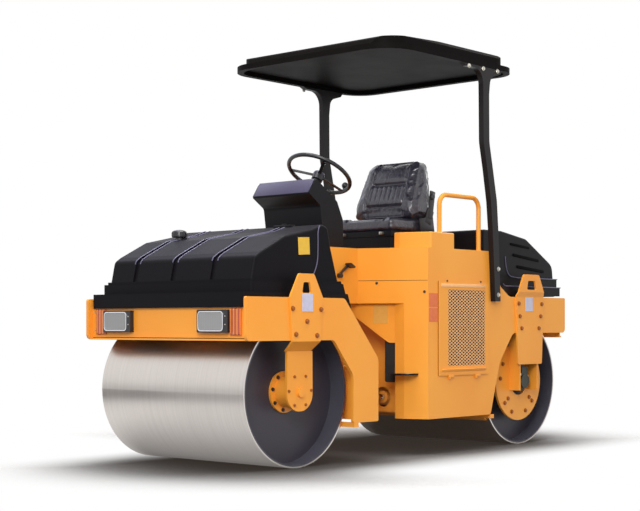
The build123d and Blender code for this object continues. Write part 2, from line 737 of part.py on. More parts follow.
def wheel_plane():
    a = math.radians(WHEEL_TILT)
    origin = (CONSOLE_X - WHEEL_BACK, 0, BODY_TOP + WHEEL_RISE)
    return Plane(origin=origin, x_dir=(0, 1, 0), z_dir=(-math.sin(a), 0, math.cos(a)))


def steering_wheel():
    """Rim on dished spokes, with a spinner knob beside one of them."""
    ring_r = WHEEL_R - WHEEL_RIM_R
    wheel = Torus(ring_r, WHEEL_RIM_R) + Pos(0, 0, -WHEEL_HUB_DROP) * Cylinder(WHEEL_HUB_R, WHEEL_HUB_T)
    for k in range(SPOKES):
        spoke = Pos(ring_r / 2, 0, -WHEEL_HUB_DROP / 2) * Box(ring_r, 20, 8)
        wheel += Rot(0, 0, SPOKE_START + 360 / SPOKES * k) * Rot(0, -5, 0) * spoke
    knob = Pos(0, 0, KNOB_RISE / 2) * Cylinder(8, KNOB_RISE) + Pos(0, 0, KNOB_RISE) * Sphere(KNOB_R)
    wheel += Rot(0, 0, SPOKE_START - 2) * Pos(ring_r, 0, 0) * knob
    return wheel_plane() * wheel


def control_levers():
    """Travel lever on the console's right side and brake pedal on the bay's left wall."""
    x, y = CONSOLE_X - 130, -CONSOLE_HALF - LEVER_REACH
    low, high = BODY_TOP + LEVER_LOW, BODY_TOP + LEVER_HIGH
    lever = box(x - 18, x + 18, y - 12, -CONSOLE_HALF, low, low + 24)
    lever += rod_z(x, y, 9, low, high - 22) + Pos(x, y, high) * Sphere(LEVER_GRIP_R)
    pivot_x, pivot_z = CONSOLE_X - 155, BODY_TOP - 175
    pedal = rod_y(pivot_x, pivot_z, 15, BAY_HALF, BAY_HALF + LEVER_REACH)
    arm = [(12, -4, 0), (6, 12, 0), (-72, 72, 0), (-84, 60, 0)]
    pad = [(-60, 70, 0), (-66, 80, 0), (-108, 58, 0), (-102, 48, 0)]
    for rows, near, far in ((arm, 6, 18), (pad, 2, 48)):
        bar = [(pivot_x + a, pivot_z + b, r) for a, b, r in rows]
        pedal += prism_y(bar, BAY_HALF + near, BAY_HALF + far)
    return Compound(children=[lever, pedal])


# ---------------------------------------------------------------- canopy
CANOPY_RISE = 1179.0  # underside of the rim above the deck
RIM_T = 35.0
ROOF_RISE = 88.0  # highest point of the roof above the rim
RIB_RISE = 5.0
ROOF_ROOT = 5.0  # the dome reaches this far into the rim
POST_T = 38.0
CANOPY_LIP = 2.0  # the rim stands this far outside the posts
CANOPY_HALF = OUT + POST_T + CANOPY_LIP
CANOPY_FRONT = BODY_FRONT + 413
CANOPY_REAR = BODY_REAR - 292
CANOPY_LOW = BODY_TOP + CANOPY_RISE
RIM_TOP = CANOPY_LOW + RIM_T
CANOPY_TOP = RIM_TOP + ROOF_RISE
DOME_INSET = 59.0
RIB_HALF = 60.0
RIB_PLACES = (-440.0, 0.0, 440.0)
GUSSET_DROP = 172.0  # gusset's foot below the rim


def canopy_plan(inset):
    x0, x1, y1 = CANOPY_REAR + inset, CANOPY_FRONT - inset, CANOPY_HALF - inset
    front, rear = 220 - inset, 180 - inset
    return [(x0, -y1, rear), (x1, -y1, front), (x1, y1, front), (x0, y1, rear)]


def roof_line(front, rear, top):
    """Side line of the roof between two ends: rising from the front, then flat."""
    low = RIM_TOP - ROOF_ROOT
    return [
        (front, low, 0),
        (front - 14, RIM_TOP + 51 + top - CANOPY_TOP + RIB_RISE, 20),
        (CANOPY_FRONT - DOME_INSET - 540, top, 300),
        (rear + 90, top, 60),
        (rear, RIM_TOP + 30, 30),
        (rear, low, 0),
    ]


def canopy():
    """Thin rim and shallow dome with three ribs, open below."""
    half = CANOPY_HALF - DOME_INSET
    front, rear = CANOPY_FRONT - DOME_INSET, CANOPY_REAR + DOME_INSET
    low, top = RIM_TOP - ROOF_ROOT, CANOPY_TOP - RIB_RISE
    wide = half + ROOF_ROOT
    across = [(wide, low, 0), (wide, top - 30, 0), (half - 24, top + 1, 22)]
    across += [(-y, z, r) for y, z, r in reversed(across)]
    dome = prism_y(roof_line(front + 4, rear - 4, top), -wide, wide)
    dome &= prism_x(across, CANOPY_REAR, CANOPY_FRONT)
    dome &= prism_z(canopy_plan(DOME_INSET), low, CANOPY_TOP)
    roof = prism_z(canopy_plan(0), CANOPY_LOW, RIM_TOP) + dome
    for y in RIB_PLACES:
        roof += prism_y(roof_line(front - 130, rear + 16, CANOPY_TOP), y - RIB_HALF, y + RIB_HALF)
    return roof - prism_z(canopy_plan(POST_T + 2 * CANOPY_LIP), CANOPY_LOW, RIM_TOP - 8)


def canopy_posts():
    """Cranked flat post each side, flaring into a gusset under the rim."""
    low, top = FRAME_TOP, CANOPY_LOW
    foot = BODY_REAR - 7
    front = [
        # ahead of the foot's front edge, height, corner radius
        (0, low, 0),
        (30, low + 459, 200),
        (50, low + 648, 300),
        (90, low + 848, 300),
        (131, low + 1025, 200),
        (135, top - GUSSET_DROP, 0),
        (138, top - 18, 95),
        (307, top - 15, 10),
        (344, top, 0),
    ]
    rear = [
        (-77, top, 0),
        (-55, top - 28, 0),
        (56, top - 60, 60),
        (70, top - GUSSET_DROP, 0),
        (67, low + 1025, 200),
        (26, low + 848, 300),
        (-18, low + 648, 300),
        (-34, low + 459, 200),
        (-59, low, 0),
    ]
    rows = [(foot + x, z, r) for x, z, r in front + rear]
    return both_sides(prism_y(rows, OUT, OUT + POST_T))


# ---------------------------------------------------------------- rear hood
HOOD_FRONT = BODY_REAR - 27
HOOD_HALF = INN - 58
HOOD_LOW = REAR_FRAME_TOP + 10
HOOD_WALL = 10.0
HOOD_HINGE_X = 20 - HALF_LENGTH
HOOD_HINGE_Z = HOOD_LOW + 3
BARREL_PLACES = ((250.0, 300.0), (380.0, 430.0))
HOOD_SKIRT = [
    # low and high above the hood's foot, in from the side plate, set in from the frame's rear end
    (62, 121, 35, 7),
    (3, 62, 11, 4),
]


def hood_profile(inset):
    top = BODY_TOP + 149 - inset
    return [
        (HOOD_FRONT - inset, HOOD_LOW, 0),
        (HOOD_FRONT - inset, top, 30),
        (HOOD_FRONT - 222, top, 80),
        (363 - HALF_LENGTH + inset / 2, top - 42, 80),
        (37 - HALF_LENGTH + inset, HOOD_LOW + 218 - inset / 2, 80),
        (9 - HALF_LENGTH + inset, HOOD_LOW, 0),
    ]


def rear_hood():
    """Hinged engine cover on two stepped skirts, open below, with its hinge barrels."""
    hood = prism_y(hood_profile(0), -HOOD_HALF, HOOD_HALF)
    ends = hood.faces().filter_by(Axis.Y)
    hood = fillet([e for e in ends.edges() if e.center().Z > HOOD_LOW + 1], 14)
    for low, high, inside, back in HOOD_SKIRT:
        half, rear = INN - inside, back - HALF_LENGTH
        layer = box(rear, HOOD_FRONT, -half, half, HOOD_LOW + low, HOOD_LOW + high)
        hood += fillet(layer.edges().filter_by(Axis.Z).sort_by(Axis.X)[:2], 20)
    for low, high, inside, back in HOOD_SKIRT:
        half, rear = INN - inside - HOOD_WALL, back - HALF_LENGTH + HOOD_WALL
        hood -= box(rear, HOOD_FRONT - HOOD_WALL, -half, half, HOOD_LOW + low, HOOD_LOW + high - HOOD_WALL)
    hood -= prism_y(hood_profile(HOOD_WALL), HOOD_WALL - HOOD_HALF, HOOD_HALF - HOOD_WALL)
    for y0, y1 in BARREL_PLACES:
        barrel = rod_y(HOOD_HINGE_X, HOOD_HINGE_Z, 12, y0, y1)
        hood += barrel + mirror_y(barrel)
    return hood


def hood_hinges():
    """Stands on the rear bumper's flange, just below the hood's barrels."""
    x, top = 35 - HALF_LENGTH, HOOD_LOW - 20
    rows = [(x, BUMPER_TOP, 0), (x + 60, BUMPER_TOP, 0), (x + 12, top, 0), (x - 26, top, 0)]
    stand = prism_y(rows, BARREL_PLACES[0][0], BARREL_PLACES[1][1])
    return both_sides(stand)


# ---------------------------------------------------------------- scrapers
def scraper(axle_x, toward, bar_top):
    """Bar under the frame with a blade close to the drum; toward is the drum's side."""
    tip_z = DRUM_R - 253
    tip = axle_x - toward * (math.sqrt(DRUM_R**2 - (DRUM_R - tip_z) ** 2) + GAP + 3)
    root = tip - toward * 60
    bar = box(*span(root - toward * 40, root), -OUT, OUT, bar_top - 26, bar_top)
    blade = prism_y(
        [(root, bar_top - 20, 0), (tip, tip_z, 0), (tip, tip_z + 7, 0), (root, bar_top - 6, 0)],
        20 - DRUM_END,
        DRUM_END - 20,
    )
    return bar + blade


# ---------------------------------------------------------------- write the pieces
PIECES = {
    "front_drum": lambda: drum(FRONT_AXLE_X),
    "rear_drum": lambda: drum(REAR_AXLE_X),
    "front_hub": lambda: hub(FRONT_AXLE_X, 1),
    "rear_hub": lambda: hub(REAR_AXLE_X, -1),
    "front_hub_arm": lambda: hub_arm(FRONT_AXLE_X, 1, lead=12),
    "rear_hub_arm": lambda: hub_arm(REAR_AXLE_X, -1),
    "front_drive_arm": lambda: drive_arm(FRONT_AXLE_X, -1),
    "rear_drive_arm": lambda: drive_arm(REAR_AXLE_X, 1),
    "front_drive_bracket": lambda: drive_bracket(FRONT_AXLE_X, -1, BEAM_LOW),
    "rear_drive_bracket": lambda: drive_bracket(REAR_AXLE_X, 1, BEAM_LOW + REAR_STEP),
    "front_drive_motor": lambda: drive_motor(FRONT_AXLE_X, -1),
    "rear_drive_motor": lambda: drive_motor(REAR_AXLE_X, 1),
    "front_side_plates": front_side_plates,
    "front_crossbeam": front_crossbeam,
    "front_bumper": lambda: bumper(1, ("head", "amber")),
    "rear_bumper": lambda: bumper(-1, ("amber",)),
    "headlamps": lambda: lamps("head", 1),
    "front_indicators": lambda: lamps("amber", 1),
    "rear_lamps": lambda: lamps("amber", -1),
    "front_tank": front_tank,
    "tank_cap": tank_cap,
    "centre_knuckle": centre_knuckle,
    "rear_bulkhead": rear_bulkhead,
    "rear_crossmembers": rear_crossmembers,
    "steering_barrel": steering_barrel,
    "steering_rod": steering_rod,
    "rear_side_plates": rear_side_plates,
    "platform": platform,
    "corner_panels": corner_panels,
    "splash_flaps": splash_flaps,
    "steps": steps,
    "engine": engine,
    "handrails": handrails,
    "grilles": grilles,
    "seat_base": seat_base,
    "seat_cushion": seat_cushion,
    "seat_back": seat_back,
    "console": console,
    "steering_wheel": steering_wheel,
    "control_levers": control_levers,
    "canopy": canopy,
    "canopy_posts": canopy_posts,
    "rear_hood": rear_hood,
    "hood_hinges": hood_hinges,
    "front_scraper": lambda: scraper(FRONT_AXLE_X, 1, LEG_LOW),
    "rear_scraper": lambda: scraper(REAR_AXLE_X, -1, BODY_LOW),
}

os.makedirs("parts", exist_ok=True)
for piece_name, make in PIECES.items():
    save(piece_name, make())
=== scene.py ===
"""Looks of the tandem road roller: finishes, small parts, light and camera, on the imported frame."""
import math

import bmesh
import bpy
from mathutils import Matrix, Vector


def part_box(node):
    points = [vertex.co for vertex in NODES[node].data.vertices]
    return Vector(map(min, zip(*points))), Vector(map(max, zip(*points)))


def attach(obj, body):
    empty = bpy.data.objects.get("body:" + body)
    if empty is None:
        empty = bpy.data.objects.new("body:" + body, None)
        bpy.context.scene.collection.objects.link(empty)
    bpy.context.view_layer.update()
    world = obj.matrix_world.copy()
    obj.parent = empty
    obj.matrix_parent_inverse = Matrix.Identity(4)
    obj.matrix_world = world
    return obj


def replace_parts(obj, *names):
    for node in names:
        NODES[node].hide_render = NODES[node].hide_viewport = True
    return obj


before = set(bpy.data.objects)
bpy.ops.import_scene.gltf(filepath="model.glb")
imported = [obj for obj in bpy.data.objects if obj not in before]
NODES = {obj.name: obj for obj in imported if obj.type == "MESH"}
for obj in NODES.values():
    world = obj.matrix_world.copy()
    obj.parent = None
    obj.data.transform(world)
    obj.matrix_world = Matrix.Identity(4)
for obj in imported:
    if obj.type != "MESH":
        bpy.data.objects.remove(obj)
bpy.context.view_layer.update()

FRONT_AXLE = Vector((1.100, 0.0, 0.425))
REAR_AXLE = Vector((-1.126, 0.0, 0.425))
PLATE_Y = 0.668  # outer face of the side plates
HUB_ARM_Y = 0.680  # outer face of the hub arm's lug
STUB_ARM_Y = 0.617  # outer face of the hub arm's lower plate
DRIVE_ARM_Y = 0.680
DRIVE_PLATE_Y = 0.585
POST_Y = 0.706
HUB_FLANGE_Y = 0.501
RIM_INSIDE = 0.4165  # radius from which a drum is bright steel
GRILLE_FACE_Y = 0.6716  # behind this the grille's sheet takes painted shade
SLANT_FROM = Vector((-0.013, 0.668, 0.0))  # where the left side's slanted front walls start
SLANT = Vector((0.3786, -0.9256, 0.0))  # along those walls, inwards
SLANT_OUT = Vector((0.9256, 0.3786, 0.0))  # their outward normal


# ---------------------------------------------------------------- materials
def linear(code, alpha=1.0):
    """sRGB hex to the linear values that the sockets take."""
    values = [int(code[i : i + 2], 16) / 255 for i in (1, 3, 5)]
    return [v / 12.92 if v <= 0.04045 else ((v + 0.055) / 1.055) ** 2.4 for v in values] + [alpha]


def give(tree, made, key, value):
    """Links a socket to an output, or sets it to a plain value."""
    if isinstance(value, bpy.types.NodeSocket):
        tree.links.new(value, made.inputs[key])
    else:
        made.inputs[key].default_value = value


def add(tree, kind, inputs=None, **settings):
    """Adds a node: settings are its properties, inputs its values or links by socket."""
    made = tree.nodes.new("ShaderNode" + kind)
    for key, value in settings.items():
        setattr(made, key, value)
    for key, value in (inputs or {}).items():
        give(tree, made, key, value)
    return made


def material(name):
    """New material with its tree, its shader and its object coordinates."""
    made = bpy.data.materials.new(name)
    made.use_nodes = True
    tree = made.node_tree
    shader = tree.nodes["Principled BSDF"]
    place = add(tree, "TexCoord").outputs["Object"]
    return made, tree, shader, place


def connect(tree, shader, **inputs):
    """Gives the shader its inputs, each named with underscores for spaces."""
    for key, value in inputs.items():
        give(tree, shader, key.replace("_", " "), value)


def noise(tree, place, scale, detail=2.0, **more):
    """Noise from 0 to 1 with about scale cells to the metre."""
    return add(tree, "TexNoise", {"Vector": place, "Scale": scale, "Detail": detail, **more}).outputs["Fac"]


def tone(tree, value, deep, pale, low=0.0, high=1.0):
    """Colour that runs from deep to pale as a value goes from low to high."""
    ramp = add(tree, "ValToRGB", {"Fac": value})
    ramp.color_ramp.elements[0].position, ramp.color_ramp.elements[1].position = low, high
    ramp.color_ramp.elements[0].color, ramp.color_ramp.elements[1].color = linear(deep), linear(pale)
    return ramp.outputs["Color"]


def span(tree, value, low, high, start=0.0):
    """A value between start and 1, mapped to run from low to high."""
    inputs = {"Value": value, "From Min": start, "To Min": low, "To Max": high}
    return add(tree, "MapRange", inputs).outputs["Result"]


def mixed(tree, factor, first, second, kind="RGBA"):
    """First at a factor of 0, second at 1."""
    return add(tree, "Mix", {"Factor": factor, "A": first, "B": second}, data_type=kind).outputs["Result"]


def maths(tree, operation, *values):
    """Result of a math node on one or two values."""
    return add(tree, "Math", dict(enumerate(values)), operation=operation).outputs["Value"]


def relief(tree, height, strength, depth, **below):
    """Normal of a relief whose depth is in metres, laid over another where Normal is given."""
    inputs = {"Height": height, "Strength": strength, "Distance": depth, **below}
    return add(tree, "Bump", inputs).outputs["Normal"]


def orange_peel(tree, place):
    """Skin of sprayed enamel, in cells of about 3 mm."""
    return relief(tree, noise(tree, place, 330.0, 1.0), 0.05, 0.0004)


def orange_enamel():
    """Two-pack enamel sprayed on sheet steel: deep gloss over a faint orange peel."""
    made, tree, shader, place = material("orange_enamel")
    colour = tone(tree, noise(tree, place, 1.6), "#F79F36", "#FAA83E", 0.35, 0.65)
    rough = span(tree, noise(tree, place, 9.0, 4.0), 0.26, 0.40)
    connect(
        tree, shader, Base_Color=colour, Roughness=rough, Normal=orange_peel(tree, place), IOR=1.5,
        Specular_IOR_Level=0.35,
    )
    return made


def stove_enamel(name, deep, pale, low, high, gloss):
    """Stove enamel on steel: smooth, with a cool reflection; low and high bound its roughness."""
    made, tree, shader, place = material(name)
    drift = noise(tree, place, 3.0, 3.0)
    connect(
        tree, shader, Base_Color=tone(tree, drift, deep, pale), Roughness=span(tree, drift, low, high),
        Normal=orange_peel(tree, place), IOR=1.5, Specular_IOR_Level=gloss,
    )
    return made


def black_moulding(name, deep, pale, low, high, gloss):
    """Rotomoulded polyethylene: waxy, with the tool's leathery grain; low and high bound its roughness."""
    made, tree, shader, place = material(name)
    drift = noise(tree, place, 4.0, 3.0)
    # tool grain of about 2 mm, drawn at 5 mm so that it shows
    grain = relief(tree, noise(tree, place, 200.0, 2.0, Roughness=0.6), 0.18, 0.0006)
    wave = relief(tree, noise(tree, place, 7.0, 1.0), 0.25, 0.004, Normal=grain)
    connect(
        tree, shader, Base_Color=tone(tree, drift, deep, pale), Roughness=span(tree, drift, low, high),
        Normal=wave, IOR=1.51, Specular_IOR_Level=gloss,
    )
    return made


def drum_finish(name, axle):
    """Rolling face turned bright on a lathe; slate enamel inside the rim, paler on the shell's inside as
    painted light.
    """
    made, tree, shader, place = material(name)
    part = add(tree, "SeparateXYZ", {"Vector": place})
    flat = add(tree, "CombineXYZ", {"X": part.outputs["X"], "Y": 0.0, "Z": part.outputs["Z"]})
    ends = {0: flat.outputs["Vector"], 1: (axle.x, 0.0, axle.z)}
    radius = add(tree, "VectorMath", ends, operation="DISTANCE").outputs["Value"]
    steel = maths(tree, "GREATER_THAN", radius, RIM_INSIDE)
    # the shell's inner wall is painted a paler slate: painted light where it catches the lamps
    shell = add(tree, "MapRange", {"Value": radius, "From Min": 0.404, "From Max": 0.408}).outputs["Result"]
    slate = mixed(tree, shell, linear("#37323C"), linear("#474650"))
    # turning marks run round the drum: tool feed of about 1 mm, drawn at 6 mm
    stretch = add(tree, "Mapping", {"Vector": place, "Scale": (1.5, 170.0, 1.5)}).outputs["Vector"]
    marks = noise(tree, stretch, 1.0, 3.0, Roughness=0.65)
    bare = tone(tree, marks, "#D3CCC7", "#DED8D3", 0.3, 0.7)
    worn = span(tree, noise(tree, place, 2.5, 4.0), 0.30, 0.40)
    connect(
        tree, shader, Base_Color=mixed(tree, steel, slate, bare), Metallic=steel,
        Roughness=mixed(tree, steel, 0.42, worn, "FLOAT"), Normal=relief(tree, marks, 0.03, 0.0004),
    )
    return made


def cast_iron(name, deep, pale):
    """Sand casting under thin paint: matt, with a pebbled skin."""
    made, tree, shader, place = material(name)
    skin = noise(tree, place, 160.0, 3.0)
    colour = tone(tree, skin, deep, pale)
    connect(tree, shader, Base_Color=colour, Normal=relief(tree, skin, 0.4, 0.001), Roughness=0.55)
    return made


def bright_metal(name, deep, pale, low, high):
    """Hard chrome, zinc plate or vacuum silver: smooth, with faint cloudy wear."""
    made, tree, shader, place = material(name)
    cloud = noise(tree, place, 60.0, 3.0)
    colour, rough = tone(tree, cloud, deep, pale), span(tree, cloud, low, high)
    connect(tree, shader, Base_Color=colour, Roughness=rough, Metallic=1.0)
    return made


def moulded_grip():
    """Injection moulded polypropylene: satin black with a spark-eroded grain."""
    made, tree, shader, place = material("moulded_grip")
    grain = noise(tree, place, 700.0)
    colour = tone(tree, grain, "#1B191C", "#262428")
    connect(tree, shader, Base_Color=colour, Normal=relief(tree, grain, 0.15, 0.0004), Roughness=0.34)
    return made


def seat_leathercloth():
    """Embossed PVC leathercloth: soft folds and a hide grain of about 2 mm, under a clear delivery film."""
    made, tree, shader, place = material("seat_leathercloth")
    grain = add(tree, "TexVoronoi", {"Vector": place, "Scale": 420.0}, feature="DISTANCE_TO_EDGE")
    crease = noise(tree, place, 26.0, 5.0, Distortion=1.4)
    fine = relief(tree, grain.outputs["Distance"], 0.2, 0.0006)
    folds = relief(tree, crease, 0.8, 0.010, Normal=fine)
    connect(
        tree, shader, Base_Color=tone(tree, crease, "#25232C", "#3A3745"),
        Roughness=span(tree, crease, 0.26, 0.44), Normal=folds, IOR=1.53, Coat_Weight=0.7,
        Coat_Roughness=0.16,
    )
    return made


def flutes(tree, place, pitch):
    """Wave from -1 to 1 across the machine, for upright flutes at a pitch in metres."""
    part = add(tree, "SeparateXYZ", {"Vector": place})
    return maths(tree, "SINE", maths(tree, "MULTIPLY", part.outputs["Y"], 2 * math.pi / pitch))


def amber_lens():
    """Pressed amber polycarbonate, its flutes 26 mm apart; across each flute the colour runs from deep red to
    bright orange, painted shade and highlight.
    """
    made, tree, shader, place = material("amber_lens")
    flute = flutes(tree, place, 0.026)
    # dark red on one side of each flute, bright orange on the other: painted shade and highlight
    colour = mixed(tree, span(tree, flute, 0.0, 1.0, -1.0), linear("#B33C1C"), linear("#F08A38"))
    connect(
        tree, shader, Base_Color=colour, Normal=relief(tree, flute, 0.5, 0.002), Roughness=0.12, IOR=1.58,
        Transmission_Weight=0.1,
    )
    return made


def clear_cover():
    """Clear polycarbonate sheet, its flutes 14 mm apart: thin, so most light goes straight through."""
    made, tree, shader, place = material("clear_cover")
    flute = flutes(tree, place, 0.014)
    # the base dims slightly across each flute: painted shade on the ribs
    connect(
        tree, shader, Base_Color=span(tree, flute, 0.94, 1.0, -1.0), Normal=relief(tree, flute, 0.08, 0.001),
        Roughness=0.05, IOR=1.58, Alpha=0.3,
    )
    return made


def grille_finish():
    """Orange enamel on the grille's frame; the sheet behind the mesh is painted deep brown, a painted shade.
    """
    made, tree, shader, place = material("grille_enamel")
    part = add(tree, "SeparateXYZ", {"Vector": place})
    frame_face = maths(tree, "GREATER_THAN", maths(tree, "ABSOLUTE", part.outputs["Y"]), GRILLE_FACE_Y)
    # the sheet behind the mesh is painted near-black brown: painted shade
    behind = tone(tree, noise(tree, place, 24.0, 4.0), "#140A06", "#23130B")
    connect(
        tree, shader, Base_Color=mixed(tree, frame_face, behind, linear("#F9A43A")),
        Roughness=span(tree, frame_face, 0.8, 0.34), Normal=orange_peel(tree, place), IOR=1.5,
        Specular_IOR_Level=0.35,
    )
    return made


def flap_rubber():
    """Calendered rubber sheet: dull, with a bloom of dust."""
    made, tree, shader, place = material("flap_rubber")
    colour = tone(tree, noise(tree, place, 14.0, 5.0), "#1A1817", "#2E2A28")
    cloth = relief(tree, noise(tree, place, 300.0, 1.0), 0.2, 0.0006)
    connect(tree, shader, Base_Color=colour, Normal=cloth, Roughness=0.7, Specular_IOR_Level=0.25)
    return made


def smooth_coat(name, deep, pale):
    """Smooth coat with faint mottling: the vinyl of a blank plate, or the enamel of expanded metal, given
    paler than the frame's as painted highlight.
    """
    made, tree, shader, place = material(name)
    connect(tree, shader, Base_Color=tone(tree, noise(tree, place, 45.0, 3.0), deep, pale), Roughness=0.3)
    return made


ORANGE = orange_enamel()
# pale peach, paler than the orange enamel: painted highlight on the mesh strands and the door's pressed bar
# and sill
MESH_HIGHLIGHT = smooth_coat("mesh_highlight_enamel", "#F4AE66", "#FCC88C")
GRILLE = grille_finish()
BLACK = stove_enamel("black_enamel", "#0F0E12", "#161519", 0.34, 0.46, 0.15)
POST = stove_enamel("post_enamel", "#171415", "#1F1B1C", 0.36, 0.48, 0.22)
# violet-grey, paler than the black enamel: painted sheen on upward-facing black parts
SHEEN_ENAMEL = stove_enamel("violet_sheen_enamel", "#3B374E", "#46415A", 0.3, 0.4, 0.3)
TANK = black_moulding("tank_moulding", "#100F12", "#171519", 0.44, 0.56, 0.06)
# raised lines in pale violet: painted highlight along ridges and ledges
HIGHLIGHT_RIDGE = black_moulding("painted_highlight_ridge", "#4E4B63", "#69667F", 0.32, 0.44, 0.3)
# bolt heads in a darker orange enamel: painted shade of the small heads and the shadows below them
BOLT = stove_enamel("bolt_shade_enamel", "#8E4E1E", "#AB6126", 0.4, 0.5, 0.3)
HOOD = black_moulding("hood_moulding", "#110F12", "#181518", 0.36, 0.48, 0.12)
CANOPY = black_moulding("canopy_moulding", "#110F0F", "#171413", 0.44, 0.56, 0.02)
# near-black: painted shade in the louvres' slots and the bumper's gap
SHADE = black_moulding("louvre_shade", "#080707", "#0D0B0B", 0.5, 0.6, 0.03)
IRON = cast_iron("painted_iron", "#1E1D20", "#2B2A2E")
MOTOR = cast_iron("motor_iron", "#20251F", "#3B4038")
CHROME = bright_metal("hard_chrome", "#D4D6DA", "#E6E8EC", 0.06, 0.12)
ZINC = bright_metal("zinc_plate", "#B9B7AE", "#D6D4CC", 0.25, 0.4)
SILVER = bright_metal("vacuum_silver", "#DADCE2", "#F0F1F4", 0.05, 0.10)
GRIP = moulded_grip()
RUBBER = flap_rubber()
VINYL = seat_leathercloth()
AMBER = amber_lens()
COVER = clear_cover()
LILAC_PLATE = smooth_coat("lilac_plate", "#B9B4CE", "#D4D0E2")
YELLOW_PLATE = smooth_coat("yellow_plate", "#DDA92A", "#EAC03A")
CREAM_PLATE = smooth_coat("cream_plate", "#DC9B40", "#E9AF58")
RED_PLATE = smooth_coat("red_plate", "#D9622C", "#E87C3E")

FINISH = {
    ORANGE: (
        "front_side_plates front_crossbeam front_bumper front_hub_arm front_hub front_drive_arm "
        "front_drive_bracket front_scraper rear_side_plates rear_bulkhead rear_crossmembers rear_bumper "
        "rear_hub_arm rear_hub rear_drive_arm rear_drive_bracket rear_scraper platform corner_panels "
        "handrails centre_knuckle steering_barrel hood_hinges"
    ),
    GRILLE: "grilles",
    BLACK: "console seat_base steps",
    POST: "canopy_posts",
    TANK: "front_tank tank_cap",
    HOOD: "rear_hood",
    CANOPY: "canopy",
    IRON: "engine",
    MOTOR: "front_drive_motor rear_drive_motor",
    CHROME: "steering_rod",
    GRIP: "steering_wheel control_levers",
    RUBBER: "splash_flaps",
    VINYL: "seat_cushion seat_back",
    AMBER: "front_indicators rear_lamps",
    SILVER: "headlamps",
    drum_finish("front_drum_finish", FRONT_AXLE): "front_drum",
    drum_finish("rear_drum_finish", REAR_AXLE): "rear_drum",
}


def paint(piece, finish):
    """Gives a piece one finish on all its slots."""
    if not piece.material_slots:
        piece.data.materials.append(finish)
    for slot in piece.material_slots:
        slot.material = finish


for finish, names in FINISH.items():
    for name in names.split():
        paint(NODES[name], finish)


# ---------------------------------------------------------------- shaping
def put(name, shape, finish, body, crease=35):
    """Makes a piece from a shape: doubles merged, faces outwards, smooth below the crease angle."""
    bmesh.ops.remove_doubles(shape, verts=shape.verts, dist=1e-6)
    bmesh.ops.recalc_face_normals(shape, faces=shape.faces)
    mesh = bpy.data.meshes.new(name)
    shape.to_mesh(mesh)
    shape.free()
    mesh.shade_smooth()
    mesh.set_sharp_from_angle(angle=math.radians(crease))
    piece = bpy.data.objects.new(name, mesh)
    bpy.context.scene.collection.objects.link(piece)
    mesh.materials.append(finish)
    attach(piece, body)
    return piece


def turned_to(at, facing):
    """Matrix that stands a shape made along +Z on a point, facing outwards."""
    return Matrix.Translation(at) @ Vector((0, 0, 1)).rotation_difference(Vector(facing)).to_matrix().to_4x4()


def round_edges(shape, edges, reach, segments=2):
    """Rounds edges, setting each back by reach."""
    bmesh.ops.bevel(
        shape, geom=edges, offset=reach, offset_type="OFFSET", segments=segments, profile=0.5, affect="EDGES",
        material=-1,
    )


def slab(shape, middle, size, along=(1, 0, 0), out=(0, 1, 0), reach=0.0, segments=2):
    """Rounded block: size runs along, out and up from its middle."""
    along, out = Vector(along), Vector(out)
    turn = Matrix((along, out, along.cross(out))).transposed().to_4x4()
    made = bmesh.ops.create_cube(
        shape, size=1.0, matrix=Matrix.Translation(middle) @ turn @ Matrix.Diagonal((*size, 1.0))
    )
    if reach:
        round_edges(shape, list({e for v in made["verts"] for e in v.link_edges}), reach, segments)


def spun(shape, rows, at, facing, steps=28):
    """Turns rows of (radius, height) about an axis that starts at a point."""
    place = turned_to(at, facing)
    points = [shape.verts.new(place @ Vector((radius, 0, height))) for radius, height in rows]
    lines = [shape.edges.new(pair) for pair in zip(points, points[1:])]
    bmesh.ops.spin(
        shape, geom=points + lines, cent=at, axis=Vector(facing), dvec=(0, 0, 0), angle=2 * math.pi,
        steps=steps, use_merge=True, use_duplicate=False,
    )


def bolt(shape, at, facing, across=0.022, height=0.010):
    """Hexagon head, its upper edge broken, on a washer."""
    place = turned_to(at, facing)
    washer = across * 0.72
    bmesh.ops.create_cone(
        shape, cap_ends=True, segments=18, radius1=washer, radius2=washer, depth=0.003,
        matrix=place @ Matrix.Translation((0, 0, 0.0015)),
    )
    radius = across / math.sqrt(3)
    head = bmesh.ops.create_cone(
        shape, cap_ends=True, segments=6, radius1=radius, radius2=radius, depth=height,
        matrix=place @ Matrix.Translation((0, 0, 0.003 + height / 2)),
    )["verts"]
    top = {v for v in head if (place.inverted() @ v.co).z > 0.003 + height / 2}
    round_edges(shape, [e for e in shape.edges if e.verts[0] in top and e.verts[1] in top], height * 0.16, 1)


def screw(shape, at, facing, radius=0.007):
    """Domed head with a drive recess."""
    rows = ((0, 0.25), (0.35, 0.25), (0.4, 0.6), (0.8, 0.45), (1, 0))
    spun(shape, [(radius * out, radius * up) for out, up in rows], at, facing, 14)


def bead(name, runs, radius, finish, body, smooth=False):
    """Thin raised line along one or more runs of points."""
    line = bpy.data.curves.new(name, "CURVE")
    line.dimensions, line.bevel_depth, line.bevel_resolution, line.use_fill_caps = "3D", radius, 2, True
    line.resolution_u = line.render_resolution_u = 6
    for run in runs:
        spline = line.splines.new("NURBS" if smooth else "POLY")
        spline.points.add(len(run) - 1)
        for point, at in zip(spline.points, run):
            point.co = (*at, 1.0)
        if smooth:
            spline.order_u, spline.use_endpoint_u = 3, True
    piece = bpy.data.objects.new(name, line)
    bpy.context.scene.collection.objects.link(piece)
    line.materials.append(finish)
    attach(piece, body)
    return piece


def everything(shape):
    """All points, edges and faces of a shape."""
    return shape.verts[:] + shape.edges[:] + shape.faces[:]


